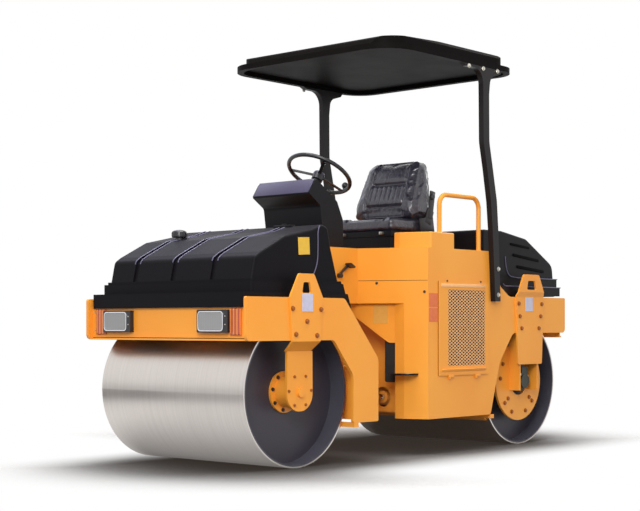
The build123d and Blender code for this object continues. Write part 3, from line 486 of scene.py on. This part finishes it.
def outline_at(node, y, low):
    """Points of a node's outline where an upright plane at y cuts it above low, from front to back."""
    cut = bmesh.new()
    cut.from_mesh(NODES[node].data)
    bmesh.ops.remove_doubles(cut, verts=cut.verts, dist=1e-5)
    bmesh.ops.bisect_plane(
        cut, geom=everything(cut), plane_co=(0, y, 0), plane_no=(0, 1, 0), clear_inner=True, clear_outer=True
    )
    points = sorted(((v.co.x, y, v.co.z) for v in cut.verts if v.co.z > low), reverse=True)
    cut.free()
    return points


def both(rows):
    """Each (x, y, z) row and its mirror image across the machine."""
    return [(x, side * y, z) for side in (1, -1) for x, y, z in rows]


# ---------------------------------------------------------------- fasteners
# x from the axle and z, in metres
HUB_ARM_BOLTS = ((0.128, 0.895), (-0.106, 0.891), (0.011, 0.824), (0.102, 0.752), (-0.072, 0.745))
DRIVE_ARM_BOLTS = (
    (-0.138, 0.946), (0.138, 0.946), (-0.125, 0.863), (0.125, 0.863), (-0.104, 0.782), (0.104, 0.782),
)
STUB_BOLTS_RADIUS, STUB_BOLTS_RAISED = 0.092, 0.010
# angle from forward in degrees, and radius
DRIVE_PLATE_BOLTS = (
    (32, 0.222), (5.5, 0.218), (-41, 0.218), (-68, 0.221), (-112, 0.219), (-139, 0.213), (-185.5, 0.213),
    (-212, 0.222), (-42, 0.170), (-138, 0.170),
)
POST_BOLTS = [(-0.711, 1.167), (-0.711, 0.999), (-0.386, 2.447), (-0.541, 2.448), (-0.699, 2.451)]
GRILLE_SCREWS = [(-0.198, 1.079), (-0.558, 1.081)]


def frame_bolts(name, body, axle, side):
    """Bolts of the arms on one frame; side is where the idler hub is."""
    shape = bmesh.new()
    for dx, z in HUB_ARM_BOLTS:
        bolt(shape, (axle.x + dx, side * HUB_ARM_Y, z), (0, side, 0), 0.020, 0.008)
    for k in range(6):
        a = math.radians(60 * k)
        dx, dz = STUB_BOLTS_RADIUS * math.cos(a), STUB_BOLTS_RAISED + STUB_BOLTS_RADIUS * math.sin(a)
        bolt(shape, (axle.x + dx, side * STUB_ARM_Y, axle.z + dz), (0, side, 0), 0.012, 0.006)
    for dx, z in DRIVE_ARM_BOLTS:
        bolt(shape, (axle.x + dx, -side * DRIVE_ARM_Y, z), (0, -side, 0), 0.020, 0.008)
    for angle, radius in DRIVE_PLATE_BOLTS:
        a = math.radians(angle)
        at = (axle.x + radius * math.cos(a), -side * DRIVE_PLATE_Y, axle.z + radius * math.sin(a))
        bolt(shape, at, (0, -side, 0), 0.020, 0.008)
    # the darker enamel paints the bolts' shade
    put(name, shape, BOLT, body)


def hub_bolts(name, body, axle, side):
    """Ring of bolts in a bearing housing's flange."""
    shape = bmesh.new()
    for k in range(8):
        a = math.radians(45 * k + 10)
        at = (axle.x + 0.103 * math.cos(a), side * HUB_FLANGE_Y, axle.z + 0.103 * math.sin(a))
        bolt(shape, at, (0, side, 0), 0.015, 0.008)
    put(name, shape, IRON, body)


def body_fasteners():
    """Bolts of the canopy's posts, and screws of the grilles and slanted walls."""
    shape = bmesh.new()
    for x, y, z in both([(x, POST_Y, z) for x, z in POST_BOLTS]):
        bolt(shape, (x, y, z), (0, math.copysign(1, y), 0), 0.020, 0.008)
    put("post_bolts", shape, ZINC, "rear_frame")
    shape = bmesh.new()
    for x, y, z in both([(x, 0.676, z) for x, z in GRILLE_SCREWS]):
        screw(shape, (x, y, z), (0, math.copysign(1, y), 0))
    for side in (1, -1):
        out = Vector((SLANT_OUT.x, side * SLANT_OUT.y, 0))
        for s, z in ((0.024, 1.009), (0.332, 1.064)):
            at = Vector((SLANT_FROM.x, side * SLANT_FROM.y, z)) + Vector((SLANT.x, side * SLANT.y, 0)) * s
            screw(shape, at, out, 0.009)
    put("panel_screws", shape, IRON, "rear_frame")


# ---------------------------------------------------------------- tank
def tank_details():
    """Pale beads along the edges of the pressed grooves and hoops as painted highlight, the strap behind
    them, and the ribbed filler cap.
    """
    grooves = (-0.366, -0.041, 0.283)
    runs = [outline_at("front_tank", g + side * 0.0225, 1.075)[:-2] for g in grooves for side in (-1, 1)]
    bead("tank_beads", runs, 0.0035, HIGHLIGHT_RIDGE, "front_frame")
    hoop = [
        (0.905, 1.372), (0.921, 1.345), (0.919, 1.287), (0.921, 1.182), (0.931, 1.141), (0.955, 1.095),
        (0.975, 1.058),
    ]
    hoops = [[(x, side * 0.5905, z) for x, z in hoop] for side in (1, -1)]
    bead("tank_hoops", hoops, 0.0035, HIGHLIGHT_RIDGE, "front_frame", smooth=True)
    shape = bmesh.new()
    slab(shape, (0.873, 0.283, 1.381), (0.040, 0.142, 0.016), reach=0.004)
    slab(shape, (0.873, 0.283, 1.391), (0.016, 0.030, 0.012), reach=0.003)
    put("tank_strap", shape, BLACK, "front_frame")
    shape = bmesh.new()
    base = Vector((1.108, -0.366, 1.305))
    cap = [
        (0.027, 0.0), (0.027, 0.026), (0.042, 0.028), (0.046, 0.032), (0.046, 0.058), (0.043, 0.064),
        (0.034, 0.069), (0.018, 0.073), (0.0, 0.075),
    ]
    spun(shape, cap, base, (0, 0, 1), 40)
    for k in range(20):
        a = math.radians(18 * k)
        out = Vector((math.cos(a), math.sin(a), 0))
        at = base + out * 0.0455 + Vector((0, 0, 0.045))
        slab(shape, at, (0.004, 0.004, 0.024), (-out.y, out.x, 0), out, 0.001, 1)
    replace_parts(put("filler_cap", shape, GRIP, "front_frame"), "tank_cap")


# ---------------------------------------------------------------- lamps
LAMP_LOW, LAMP_TOP = 0.761, 0.887
LAMP_SIDES = ((0.278, 0.519), (-0.519, -0.278))


def tray(shape, low, high, corner, rim, depth):
    """Box with rounded lengthwise edges whose forward face is sunk inside a rim."""
    low, high = Vector(low), Vector(high)
    made = bmesh.ops.create_cube(
        shape, size=1.0, matrix=Matrix.Translation((low + high) / 2) @ Matrix.Diagonal((*(high - low), 1.0))
    )["verts"]
    along = [e for v in made for e in v.link_edges if abs(e.verts[0].co.x - e.verts[1].co.x) > 1e-4]
    round_edges(shape, list(set(along)), corner, 4)
    near = Vector((high.x, (low.y + high.y) / 2, (low.z + high.z) / 2))
    face = min(shape.faces, key=lambda f: (f.calc_center_median() - near).length)
    bmesh.ops.inset_region(shape, faces=[face], thickness=rim, use_even_offset=True)
    sunk = bmesh.ops.extrude_face_region(shape, geom=[face])["geom"]
    bmesh.ops.delete(shape, geom=[face], context="FACES_ONLY")
    moved = [g for g in sunk if isinstance(g, bmesh.types.BMVert)]
    bmesh.ops.translate(shape, verts=moved, vec=(-depth, 0, 0))


def headlamp_pieces():
    """Black housings, silvered dishes behind pale rims, fluted covers and the housings' screws."""
    housing, rim, dish, cover, marks = (bmesh.new() for _ in range(5))
    for y0, y1 in LAMP_SIDES:
        tray(housing, (1.494, y0, LAMP_LOW), (1.574, y1, LAMP_TOP), 0.010, 0.006, 0.002)
        near, far = y0 + 0.008, y1 - 0.034  # the window leaves a wide black margin on the machine's left
        tray(rim, (1.520, near, LAMP_LOW + 0.008), (1.5755, far, LAMP_TOP - 0.008), 0.020, 0.005, 0.040)
        wide, tall = (far - near) / 2 - 0.006, (LAMP_TOP - LAMP_LOW) / 2 - 0.014
        middle = Vector((1.540, (near + far) / 2, (LAMP_LOW + LAMP_TOP) / 2))
        for z in (LAMP_LOW + 0.045, LAMP_TOP - 0.035):
            screw(marks, (1.574, y1 - 0.018, z), (1, 0, 0), 0.004)
        sheet = bmesh.ops.create_grid(dish, x_segments=22, y_segments=22, size=1.0)["verts"]
        for v in sheet:
            y, z = v.co.x, v.co.y
            v.co = middle + Vector((0.013 * (y * y + z * z) + 0.006 * z - 0.003 * y, y * wide, z * tall))
        spun(dish, [(0.012, 0.0), (0.012, 0.012), (0.009, 0.018), (0.0, 0.020)], middle, (1, 0, 0), 18)
        slab(cover, middle + Vector((0.0325, 0, 0)), (0.002, 2 * wide, 2 * tall), reach=0.0006, segments=1)
    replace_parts(put("headlamp_housings", housing, GRIP, "front_frame"), "headlamps")
    put("headlamp_rims", rim, SILVER, "front_frame")
    put("headlamp_dishes", dish, SILVER, "front_frame", 60)
    put("headlamp_covers", cover, COVER, "front_frame")
    put("headlamp_screws", marks, ZINC, "front_frame")


def bumper_trim():
    """Shadow gap above the bumper's lower lip, and the screws at its ends."""
    # near-black bead: painted shadow in the gap above the lip
    line = [[(1.5485, y, 0.7295) for y in (-0.642, 0.642)]]
    bead("bumper_lip_shadow", line, 0.0022, SHADE, "front_frame")
    shape = bmesh.new()
    for x, y, z in both([(1.547, 0.623, 0.878), (1.547, 0.623, 0.775)]):
        screw(shape, (x, y, z), (1, 0, 0), 0.006)
    put("bumper_screws", shape, ZINC, "front_frame")


# ---------------------------------------------------------------- blank plates
def plates():
    """Blank plates, each a thin sheet with its edges broken; rows are middle, width and height."""
    front = ((1.1065, HUB_ARM_Y, 0.928, 0.091, 0.101), (1.1065, -DRIVE_ARM_Y, 0.928, 0.091, 0.101))
    rear = ((-1.1115, DRIVE_ARM_Y, 0.942, 0.089, 0.095), (-1.1115, -HUB_ARM_Y, 0.942, 0.089, 0.095))
    side = ((-0.070, PLATE_Y, 0.958, 0.098, 0.086), (-0.070, PLATE_Y, 0.866, 0.098, 0.086))
    for name, body, rows, finish in (
        ("front_lug_plates", "front_frame", front, LILAC_PLATE),
        ("rear_lug_plates", "rear_frame", rear, LILAC_PLATE),
        ("side_plates_blank", "rear_frame", side, RED_PLATE),
    ):
        shape = bmesh.new()
        for x, y, z, wide, tall in rows:
            slab(shape, (x, y + math.copysign(0.0008, y), z), (wide, 0.0022, tall), reach=0.0006, segments=1)
        put(name, shape, finish, body)
    shape = bmesh.new()
    at = Vector((0.039, 0.454, 0.870)) + SLANT * 0.099
    slab(shape, at, (0.098, 0.003, 0.119), SLANT, SLANT_OUT, 0.0006, 1)
    put("corner_plate", shape, CREAM_PLATE, "rear_frame")
    shape = bmesh.new()
    lean = Vector((0.998, 0, -0.058))
    slab(shape, (1.0385, 0.5908, 1.250), (0.094, 0.0022, 0.098), lean, (0, 1, 0), 0.0006, 1)
    put("tank_plate", shape, YELLOW_PLATE, "front_frame")


# ---------------------------------------------------------------- grille
MESH_PITCH = (0.0362, 0.0209)  # length and height of a diamond
WINDOW = (-0.610, -0.210, 0.546, 1.025)  # its x, then its z


def expanded_mesh():
    """Expanded metal in the door's window: one lattice of diamonds, cut to the opening."""
    shape = bmesh.new()
    cells = 38
    bmesh.ops.create_grid(shape, x_segments=cells, y_segments=cells, size=cells / 2)
    holes = shape.faces[:]
    bmesh.ops.inset_individual(shape, faces=holes, thickness=0.125, use_even_offset=True)
    bmesh.ops.delete(shape, geom=holes, context="FACES_ONLY")
    x0, x1, z0, z1 = WINDOW
    half = math.sqrt(0.5)
    place = (
        Matrix.Translation(((x0 + x1) / 2, PLATE_Y + 0.0045, (z0 + z1) / 2))
        @ Matrix.Rotation(math.radians(90), 4, "X")
        @ Matrix.Diagonal((MESH_PITCH[0] * half, MESH_PITCH[1] * half, 1, 1))
        @ Matrix.Rotation(math.radians(45), 4, "Z")
    )
    bmesh.ops.transform(shape, matrix=place, verts=shape.verts)
    sides = (x0, 0, 0), (x1, 0, 0), (0, 0, z0), (0, 0, z1)
    outwards = (-1, 0, 0), (1, 0, 0), (0, 0, -1), (0, 0, 1)
    for at, normal in zip(sides, outwards):
        bmesh.ops.bisect_plane(shape, geom=everything(shape), plane_co=at, plane_no=normal, clear_outer=True)
    bmesh.ops.solidify(shape, geom=shape.faces[:], thickness=0.0022)
    bmesh.ops.mirror(shape, geom=everything(shape), axis="Y")
    # strands in the pale peach enamel: painted highlight
    put("grille_mesh", shape, MESH_HIGHLIGHT, "rear_frame")


def grille_trim():
    """Pressed bar along the door's head, the sill below it, and the two hooks."""
    shape = bmesh.new()
    for side in (1, -1):
        slab(shape, (-0.372, side * 0.6765, 1.052), (0.470, 0.005, 0.022), reach=0.002)
    # the bar and sill in the pale peach enamel: painted highlight
    put("grille_trim", shape, MESH_HIGHLIGHT, "rear_frame")
    shape = bmesh.new()
    for side in (1, -1):
        tilt = Vector((0, side * 0.819, -0.574))
        slab(shape, (-0.372, side * 0.676, 0.516), (0.470, 0.008, 0.030), (1, 0, 0), tilt, 0.002)
        for x in (-0.237, -0.523):
            slab(shape, (x, side * 0.676, 0.481), (0.052, 0.014, 0.016), reach=0.003)
            slab(shape, (x + 0.016, side * 0.676, 0.470), (0.014, 0.014, 0.014), reach=0.003)
    put("grille_hooks", shape, ORANGE, "rear_frame")


# ---------------------------------------------------------------- hood
LOUVRES = (
    # from and to, along and up, and how tall
    ((-1.020, 1.348), (-1.245, 1.330), 0.017),
    ((-1.050, 1.276), (-1.362, 1.246), 0.020),
    ((-1.098, 1.198), (-1.425, 1.172), 0.021),
)


def hood_details():
    """Louvres in the sides as near-black slabs, a painted shade, and the rounded ledges that meet in a curve
    at the front, their beads pale as painted highlight.
    """
    shape = bmesh.new()
    for side in (1, -1):
        for (xa, za), (xb, zb), tall in LOUVRES:
            along = Vector((xb - xa, 0, zb - za))
            middle = Vector(((xa + xb) / 2, side * 0.591, (za + zb) / 2))
            slab(shape, middle, (along.length, 0.012, tall), along.normalized(), (0, side, 0), 0.005, 3)
    # each slot is a near-black slab: painted shade
    put("hood_louvres", shape, SHADE, "rear_hood")
    upper = [
        (-0.958, 1.262), (-0.962, 1.215), (-0.978, 1.165), (-1.010, 1.130), (-1.060, 1.121), (-1.120, 1.121),
        (-1.566, 1.121),
    ]
    lower = [(-0.868, 1.076), (-0.885, 1.064), (-0.915, 1.062), (-0.980, 1.062), (-1.570, 1.062)]
    runs = []
    for side in (1, -1):
        runs.append([(x, side * (0.592 if z > 1.125 else 0.613), z) for x, z in upper])
        runs.append([(x, side * 0.637, z) for x, z in lower])
    # the ledges' pale beads: painted highlight
    bead("hood_beads", runs, 0.0035, HIGHLIGHT_RIDGE, "rear_hood", smooth=True)


# ---------------------------------------------------------------- operator's place
WHEEL_AT = Vector((0.246, 0.0, 1.760))
WHEEL_AXIS = Vector((-0.515, 0.0, 0.857))


def wheel_and_column():
    """Cap on the steering wheel's hub, and the bellows below it."""
    shape = bmesh.new()
    rows = [(0.037, 0.0), (0.037, 0.010), (0.034, 0.016), (0.026, 0.0205), (0.014, 0.0235), (0.0, 0.0245)]
    spun(shape, rows, WHEEL_AT - WHEEL_AXIS * 0.012, WHEEL_AXIS)
    # the cap takes the violet-grey painted sheen too
    put("wheel_cap", shape, SHEEN_ENAMEL, "steering_wheel")
    shape = bmesh.new()
    rows = [(0.031, 0.0)]
    for k in range(5):
        rows += [(0.046 - 0.002 * k, 0.006 + 0.018 * k), (0.036 - 0.001 * k, 0.015 + 0.018 * k)]
    spun(shape, rows + [(0.031, 0.100)], WHEEL_AT - WHEEL_AXIS * 0.205, WHEEL_AXIS, 36)
    put("column_boot", shape, RUBBER, "rear_frame")


def console_details():
    """Violet-grey panel along the head's slope: painted sheen on the black head."""
    shape = bmesh.new()
    low, high = Vector((0.608, 0, 1.600)), Vector((0.544, 0, 1.695))
    up = (high - low).normalized()
    out = Vector((up.z, 0, -up.x))
    slab(shape, (low + high) / 2 + out * 0.0015, (0.462, 0.005, 0.104), (0, 1, 0), out, 0.002)
    put("console_sheen_panel", shape, SHEEN_ENAMEL, "rear_frame")


def step_treads():
    """Raised bars across each footplate."""
    shape = bmesh.new()
    for side in (1, -1):
        for k in range(5):
            at = (0.058 + 0.014 * k, side * 0.560, 0.5045)
            slab(shape, at, (0.005, 0.090, 0.004), reach=0.001, segments=1)
    put("step_treads", shape, ZINC, "rear_frame")


def seam_lines():
    """Dark line across the slanted walls, under the platform's band: a joint with its painted shadow."""
    runs = []
    for side in (1, -1):
        along, out = Vector((SLANT.x, side * SLANT.y, 0)), Vector((SLANT_OUT.x, side * SLANT_OUT.y, 0))
        corner = Vector((SLANT_FROM.x, side * SLANT_FROM.y, 0)) + out * 0.0002
        runs.append([corner + along * s + Vector((0, 0, 1.080)) for s in (0.004, 0.452)])
    # near-black bead: the joint and its painted shadow
    bead("wall_seam_shadows", runs, 0.0012, RUBBER, "rear_frame")


def rail_collars():
    """Weld at each foot of the handrails."""
    shape = bmesh.new()
    for x, y, z in both([(-0.190, 0.620, 1.381), (-0.612, 0.620, 1.283)]):
        spun(shape, [(0.015, 0.007), (0.018, 0.005), (0.021, 0.0), (0.015, 0.0)], (x, y, z), (0, 0, 1), 20)
    put("rail_welds", shape, ORANGE, "rear_frame")


def motor_fittings(name, body, axle, side):
    """Hose unions on a drive motor, seen through the slot of its round plate."""
    shape = bmesh.new()
    for dx, z, radius in ((0.040, 0.470, 0.015), (0.000, 0.500, 0.014), (-0.045, 0.455, 0.013)):
        at = (axle.x + dx, side * 0.598, z)
        rows = (1, 0.0), (1, 0.016), (0.72, 0.018), (0.72, 0.034), (0.4, 0.036), (0, 0.036)
        spun(shape, [(radius * share, up) for share, up in rows], at, (0, side, 0), 8)
    put(name, shape, ZINC, body)


# ---------------------------------------------------------------- seat
def pad_from(node, name, shrink, voxel, limit):
    """Soft pad: the solid shrunk and remeshed, blown up as cloth, held to a limit, then subdivided."""
    base = bmesh.new()
    base.from_mesh(NODES[node].data)
    bmesh.ops.remove_doubles(base, verts=base.verts, dist=1e-5)
    low, high = (Vector(p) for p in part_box(node))
    middle, size = (low + high) / 2, high - low
    scale = Matrix.Diagonal((*((s - 2 * shrink) / s for s in size), 1.0))
    shrunk = Matrix.Translation(middle) @ scale @ Matrix.Translation(-middle)
    bmesh.ops.transform(base, matrix=shrunk, verts=base.verts)
    mesh = bpy.data.meshes.new(name)
    base.to_mesh(mesh)
    base.free()
    piece = bpy.data.objects.new(name, mesh)
    bpy.context.scene.collection.objects.link(piece)
    remesh = piece.modifiers.new("remesh", "REMESH")
    remesh.mode, remesh.voxel_size = "VOXEL", voxel
    settle(piece)
    rest = [v.co.copy() for v in piece.data.vertices]
    cloth = piece.modifiers.new("cloth", "CLOTH")
    cloth.settings.use_pressure, cloth.settings.uniform_pressure_force = True, 4.0
    cloth.settings.effector_weights.gravity = 0.0
    cloth.point_cache.frame_start, cloth.point_cache.frame_end = 1, 20
    for k in range(1, 21):
        bpy.context.scene.frame_set(k)
    settle(piece)
    bpy.context.scene.frame_set(1)
    for v, start in zip(piece.data.vertices, rest):
        move = v.co - start
        if move.length > limit:
            v.co = start + move.normalized() * limit
    smooth = piece.modifiers.new("smooth", "SUBSURF")
    smooth.levels = smooth.render_levels = 1
    settle(piece)
    piece.data.shade_smooth()
    return piece


def settle(piece):
    """Applies a piece's modifiers to its mesh."""
    graph = bpy.context.evaluated_depsgraph_get()
    graph.update()
    mesh = bpy.data.meshes.new_from_object(piece.evaluated_get(graph))
    piece.modifiers.clear()
    old, piece.data = piece.data, mesh
    bpy.data.meshes.remove(old)


def ease(value, low, high):
    """Smooth step from 0 at low to 1 at high."""
    t = min(max((value - low) / (high - low), 0.0), 1.0)
    return t * t * (3 - 2 * t)


def valley(value, at, half):
    """1 at a channel's middle, falling to 0 at half its width."""
    return 1.0 - ease(abs(value - at), 0.0, half)


def pushed(piece, toward, sharp, depth_at):
    """Moves the points that face a direction along it, by a depth that depends on their place."""
    toward = Vector(toward)
    facing = [Vector(n.vector).dot(toward) for n in piece.data.vertex_normals]
    points = [v.co.copy() for v in piece.data.vertices]
    moved = []
    for point, turn in zip(points, facing):
        share = ease(turn, *sharp)
        moved += list(point + toward * depth_at(point) * share if share else point)
    piece.data.vertices.foreach_set("co", moved)
    piece.data.update()


def back_depth(at):
    """Sewn form of the back: two pillows and a foot between wings, pleats in the lower pillow."""
    up, out = at.z, abs(at.y)
    wing = 0.158 - 0.020 * ease(up, 1.60, 1.88)
    centre = 1.0 - ease(out, wing - 0.022, wing + 0.006)
    depth = -0.016 * centre - 0.012 * valley(out, wing, 0.014)
    for seam in (1.600, 1.752):
        depth -= 0.014 * valley(up, seam, 0.016) * centre
    depth += 0.012 * centre * (ease(up, 1.600, 1.640) - ease(up, 1.720, 1.752))
    depth += 0.010 * centre * (ease(up, 1.752, 1.790) - ease(up, 1.835, 1.880))
    pleat = abs((at.y + 0.020) % 0.040 - 0.020)
    pleated = ease(up, 1.610, 1.640) - ease(up, 1.715, 1.745)
    return depth - 0.005 * centre * (1 - ease(pleat, 0.0, 0.008)) * pleated


def cushion_depth(at):
    """Sewn form of the cushion: a middle panel with cross channels between raised sides."""
    out = abs(at.y)
    centre = 1.0 - ease(out, 0.132, 0.160)
    depth = -0.008 * centre - 0.008 * valley(out, 0.158, 0.013)
    for seam in (-0.455, -0.380, -0.305):
        depth -= 0.007 * valley(at.x, seam, 0.014) * centre
    return depth


def seat():
    """Back and cushion as sewn pads, the back's brackets with their knob, and the slides."""
    back = pad_from("seat_back", "seat_back_pad", 0.002, 0.0062, 0.010)
    pushed(back, (0.937, 0.0, 0.350), (0.25, 0.75), back_depth)
    cushion = pad_from("seat_cushion", "seat_cushion_pad", 0.004, 0.0060, 0.010)
    pushed(cushion, (0, 0, 1), (0.3, 0.8), cushion_depth)
    for piece, node in ((back, "seat_back"), (cushion, "seat_cushion")):
        paint(piece, VINYL)
        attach(piece, "rear_frame")
        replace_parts(piece, node)
    shape = bmesh.new()
    for side in (1, -1):
        for (x, y, z), size, along, reach in (
            ((-0.582, 0.258, 1.600), (0.052, 0.012, 0.190), (0.985, 0, 0.174), 0.005),
            ((-0.535, 0.256, 1.462), (0.150, 0.010, 0.110), (0.985, 0, -0.174), 0.004),
            ((-0.560, 0.257, 1.520), (0.070, 0.010, 0.100), (0.94, 0, 0.342), 0.004),
        ):
            slab(shape, (x, side * y, z), size, along, (0, 1, 0), reach)
    knob = [(0.0, 0.014), (0.016, 0.014), (0.021, 0.009), (0.021, 0.0)]
    spun(shape, knob, (-0.582, 0.264, 1.655), (0, 1, 0), 20)
    put("seat_adjuster", shape, GRIP, "rear_frame")
    shape = bmesh.new()
    for y in (-0.16, 0.16):
        slab(shape, (-0.380, y, 1.398), (0.430, 0.022, 0.020), reach=0.004)
    put("seat_slides", shape, ZINC, "rear_frame")


frame_bolts("front_frame_bolts", "front_frame", FRONT_AXLE, 1)
frame_bolts("rear_frame_bolts", "rear_frame", REAR_AXLE, -1)
hub_bolts("front_hub_bolts", "front_drum", FRONT_AXLE, 1)
hub_bolts("rear_hub_bolts", "rear_drum", REAR_AXLE, -1)
body_fasteners()
tank_details()
headlamp_pieces()
bumper_trim()
plates()
expanded_mesh()
grille_trim()
hood_details()
wheel_and_column()
console_details()
step_treads()
seam_lines()
rail_collars()
motor_fittings("front_motor_fittings", "front_frame", FRONT_AXLE, -1)
motor_fittings("rear_motor_fittings", "rear_frame", REAR_AXLE, 1)
seat()


# ---------------------------------------------------------------- floor, light and camera
SHADE_AT = (1.45, 0.35, 0.0)  # where the floor's painted shade is deepest: ahead of the front drum, to the left


def step(tree, value, low, high, first=0.0, last=1.0):
    """Smooth step of a value from first at low to last at high."""
    inputs = {"Value": value, "From Min": low, "From Max": high, "To Min": first, "To Max": last}
    return add(tree, "MapRange", inputs, interpolation_type="SMOOTHSTEP").outputs["Result"]


def sheet_of(name, finish, place, half):
    """Flat square in a matrix's place, on the stage."""
    mesh = bpy.data.meshes.new(name)
    made = bmesh.new()
    bmesh.ops.create_grid(made, x_segments=1, y_segments=1, size=half, matrix=place)
    made.to_mesh(mesh)
    made.free()
    mesh.materials.append(finish)
    flat = bpy.data.objects.new(name, mesh)
    bpy.context.scene.collection.objects.link(flat)
    return flat


def floor_fade(tree, place, x):
    """Share of white: full far out, and sooner at the sides, left of the body and right of the front."""
    y = add(tree, "SeparateXYZ", {"Vector": place}).outputs["Y"]
    distance = add(tree, "VectorMath", {0: place}, operation="LENGTH").outputs["Value"]
    fade = step(tree, distance, 1.8, 2.9)
    for y0, y1, x0, x1 in ((0.70, 1.25, 1.5, 0.7), (-0.30, -1.0, 0.0, 0.6)):
        edge = maths(tree, "MULTIPLY", step(tree, y, y0, y1), step(tree, x, x0, x1))
        fade = maths(tree, "MAXIMUM", fade, edge)
    return fade


def floor_shade(tree, place):
    """Painted contact shade below the machine, from occlusion, deepest at SHADE_AT."""
    contact = add(tree, "AmbientOcclusion", {"Distance": 2.4}, samples=8).outputs["AO"]
    falling = maths(tree, "POWER", contact, 3.6)
    inputs = {"Value": falling, "From Max": 0.95, "To Min": 0.03, "To Max": 0.62}
    shade = add(tree, "MapRange", inputs).outputs["Result"]
    lean = add(tree, "VectorMath", {0: place, 1: SHADE_AT}, operation="DISTANCE").outputs["Value"]
    return maths(tree, "MULTIPLY", shade, step(tree, lean, 0.0, 1.5, 0.34, 1.0))


def studio():
    """Pale floor that keeps the shadow near the machine, deepened with painted shade, and turns white further
    out, and a white world.
    """
    finish, tree, shader, place = material("studio_floor")
    rays = add(tree, "LightPath").outputs
    gloss = rays["Is Glossy Ray"]
    x = add(tree, "SeparateXYZ", {"Vector": place}).outputs["X"]
    seen = maths(tree, "MAXIMUM", rays["Is Camera Ray"], gloss)
    seen = maths(tree, "MAXIMUM", seen, rays["Is Transmission Ray"])
    share = maths(tree, "MULTIPLY", seen, floor_fade(tree, place, x))
    # painted reflection: gloss sees a white glow on the floor ahead of the machine, and the shade below it
    mirrored = maths(tree, "MULTIPLY", gloss, step(tree, x, 0.9, 1.8, 0.0, 0.8))
    share = maths(tree, "MAXIMUM", share, mirrored)
    # the bounce is darker than the floor that is seen, so that undersides stay dark
    base = mixed(tree, rays["Is Diffuse Ray"], floor_shade(tree, place), 0.22, "FLOAT")
    # a faint warm glow lifts the shadow's core: painted light
    connect(
        tree, shader, Base_Color=base, Roughness=0.9, Specular_IOR_Level=0.0,
        Emission_Color=linear("#FFE6D4"), Emission_Strength=0.035,
    )
    white = add(tree, "Emission", {"Color": (1, 1, 1, 1), "Strength": 1.0})
    surface = add(tree, "MixShader", {0: share, 1: shader.outputs["BSDF"], 2: white.outputs["Emission"]})
    tree.links.new(surface.outputs["Shader"], tree.nodes["Material Output"].inputs["Surface"])
    floor = sheet_of("floor", finish, Matrix(), 60)

    world = bpy.data.worlds.new("studio")
    world.use_nodes = True
    bpy.context.scene.world = world
    tree = world.node_tree
    rays = add(tree, "LightPath").outputs
    back = tree.nodes["Background"]
    back.inputs["Color"].default_value = (1, 1, 1, 1)
    tree.links.new(span(tree, rays["Is Diffuse Ray"], 1.0, 0.72), back.inputs["Strength"])


def flag(name, at, aim, wide, tall):
    """Black studio card, seen only in reflections: it draws the dark band along the drums."""
    turn = (Vector(aim) - Vector(at)).to_track_quat("-Z", "Y").to_matrix().to_4x4()
    finish, tree, shader, place = material(name + "_cloth")
    nap = tone(tree, noise(tree, place, 40.0), "#2A2626", "#3A3535")
    connect(tree, shader, Base_Color=nap, Roughness=1.0)
    place = Matrix.Translation(at) @ turn @ Matrix.Diagonal((wide / 2, tall / 2, 1, 1))
    card = sheet_of(name, finish, place, 1.0)
    card.visible_camera = card.visible_diffuse = card.visible_shadow = card.visible_transmission = False


def softbox(name, at, aim, size, power, tint=(1, 1, 1), sheen_only=False):
    """Square lamp at a point, aimed at another; sheen_only is seen in gloss alone."""
    lamp = bpy.data.lights.new(name, "AREA")
    lamp.size, lamp.energy, lamp.color = size, power, tint
    made = bpy.data.objects.new(name, lamp)
    made.visible_diffuse = not sheen_only
    made.location = at
    made.rotation_euler = (Vector(aim) - Vector(at)).to_track_quat("-Z", "Y").to_euler()
    bpy.context.scene.collection.objects.link(made)


def camera():
    """Level long lens from ahead and to the left, its view raised by a shift."""
    lens = bpy.data.cameras.new("camera")
    lens.lens, lens.sensor_width, lens.sensor_fit = 80.44, 36.0, "HORIZONTAL"
    lens.shift_y = 0.1084
    lens.clip_end = 200
    made = bpy.data.objects.new("camera", lens)
    made.location = (7.007, 6.030, 0.804)
    made.rotation_euler = Vector((-0.7466, -0.6652, 0.0)).to_track_quat("-Z", "Y").to_euler()
    bpy.context.scene.collection.objects.link(made)
    bpy.context.scene.camera = made


studio()
flag("flag_front", (2.85, -1.18, 0.21), (1.525, 0.0, 0.21), 3.6, 0.38)
softbox("overhead", (0.3, 0.2, 6.6), (0, 0, 1.0), 4.5, 560)
softbox("key", (6.2, 4.4, 4.2), (0, 0, 1.0), 3.0, 330)
softbox("rear", (-6.0, -3.0, 4.0), (0, 0, 1.0), 4.0, 140)
softbox("sheen", (-0.6, -4.6, 5.2), (1.0, 0, 1.2), 3.4, 36, (0.62, 0.66, 1.0), True)
camera()
bpy.context.scene.view_settings.view_transform = "Standard"
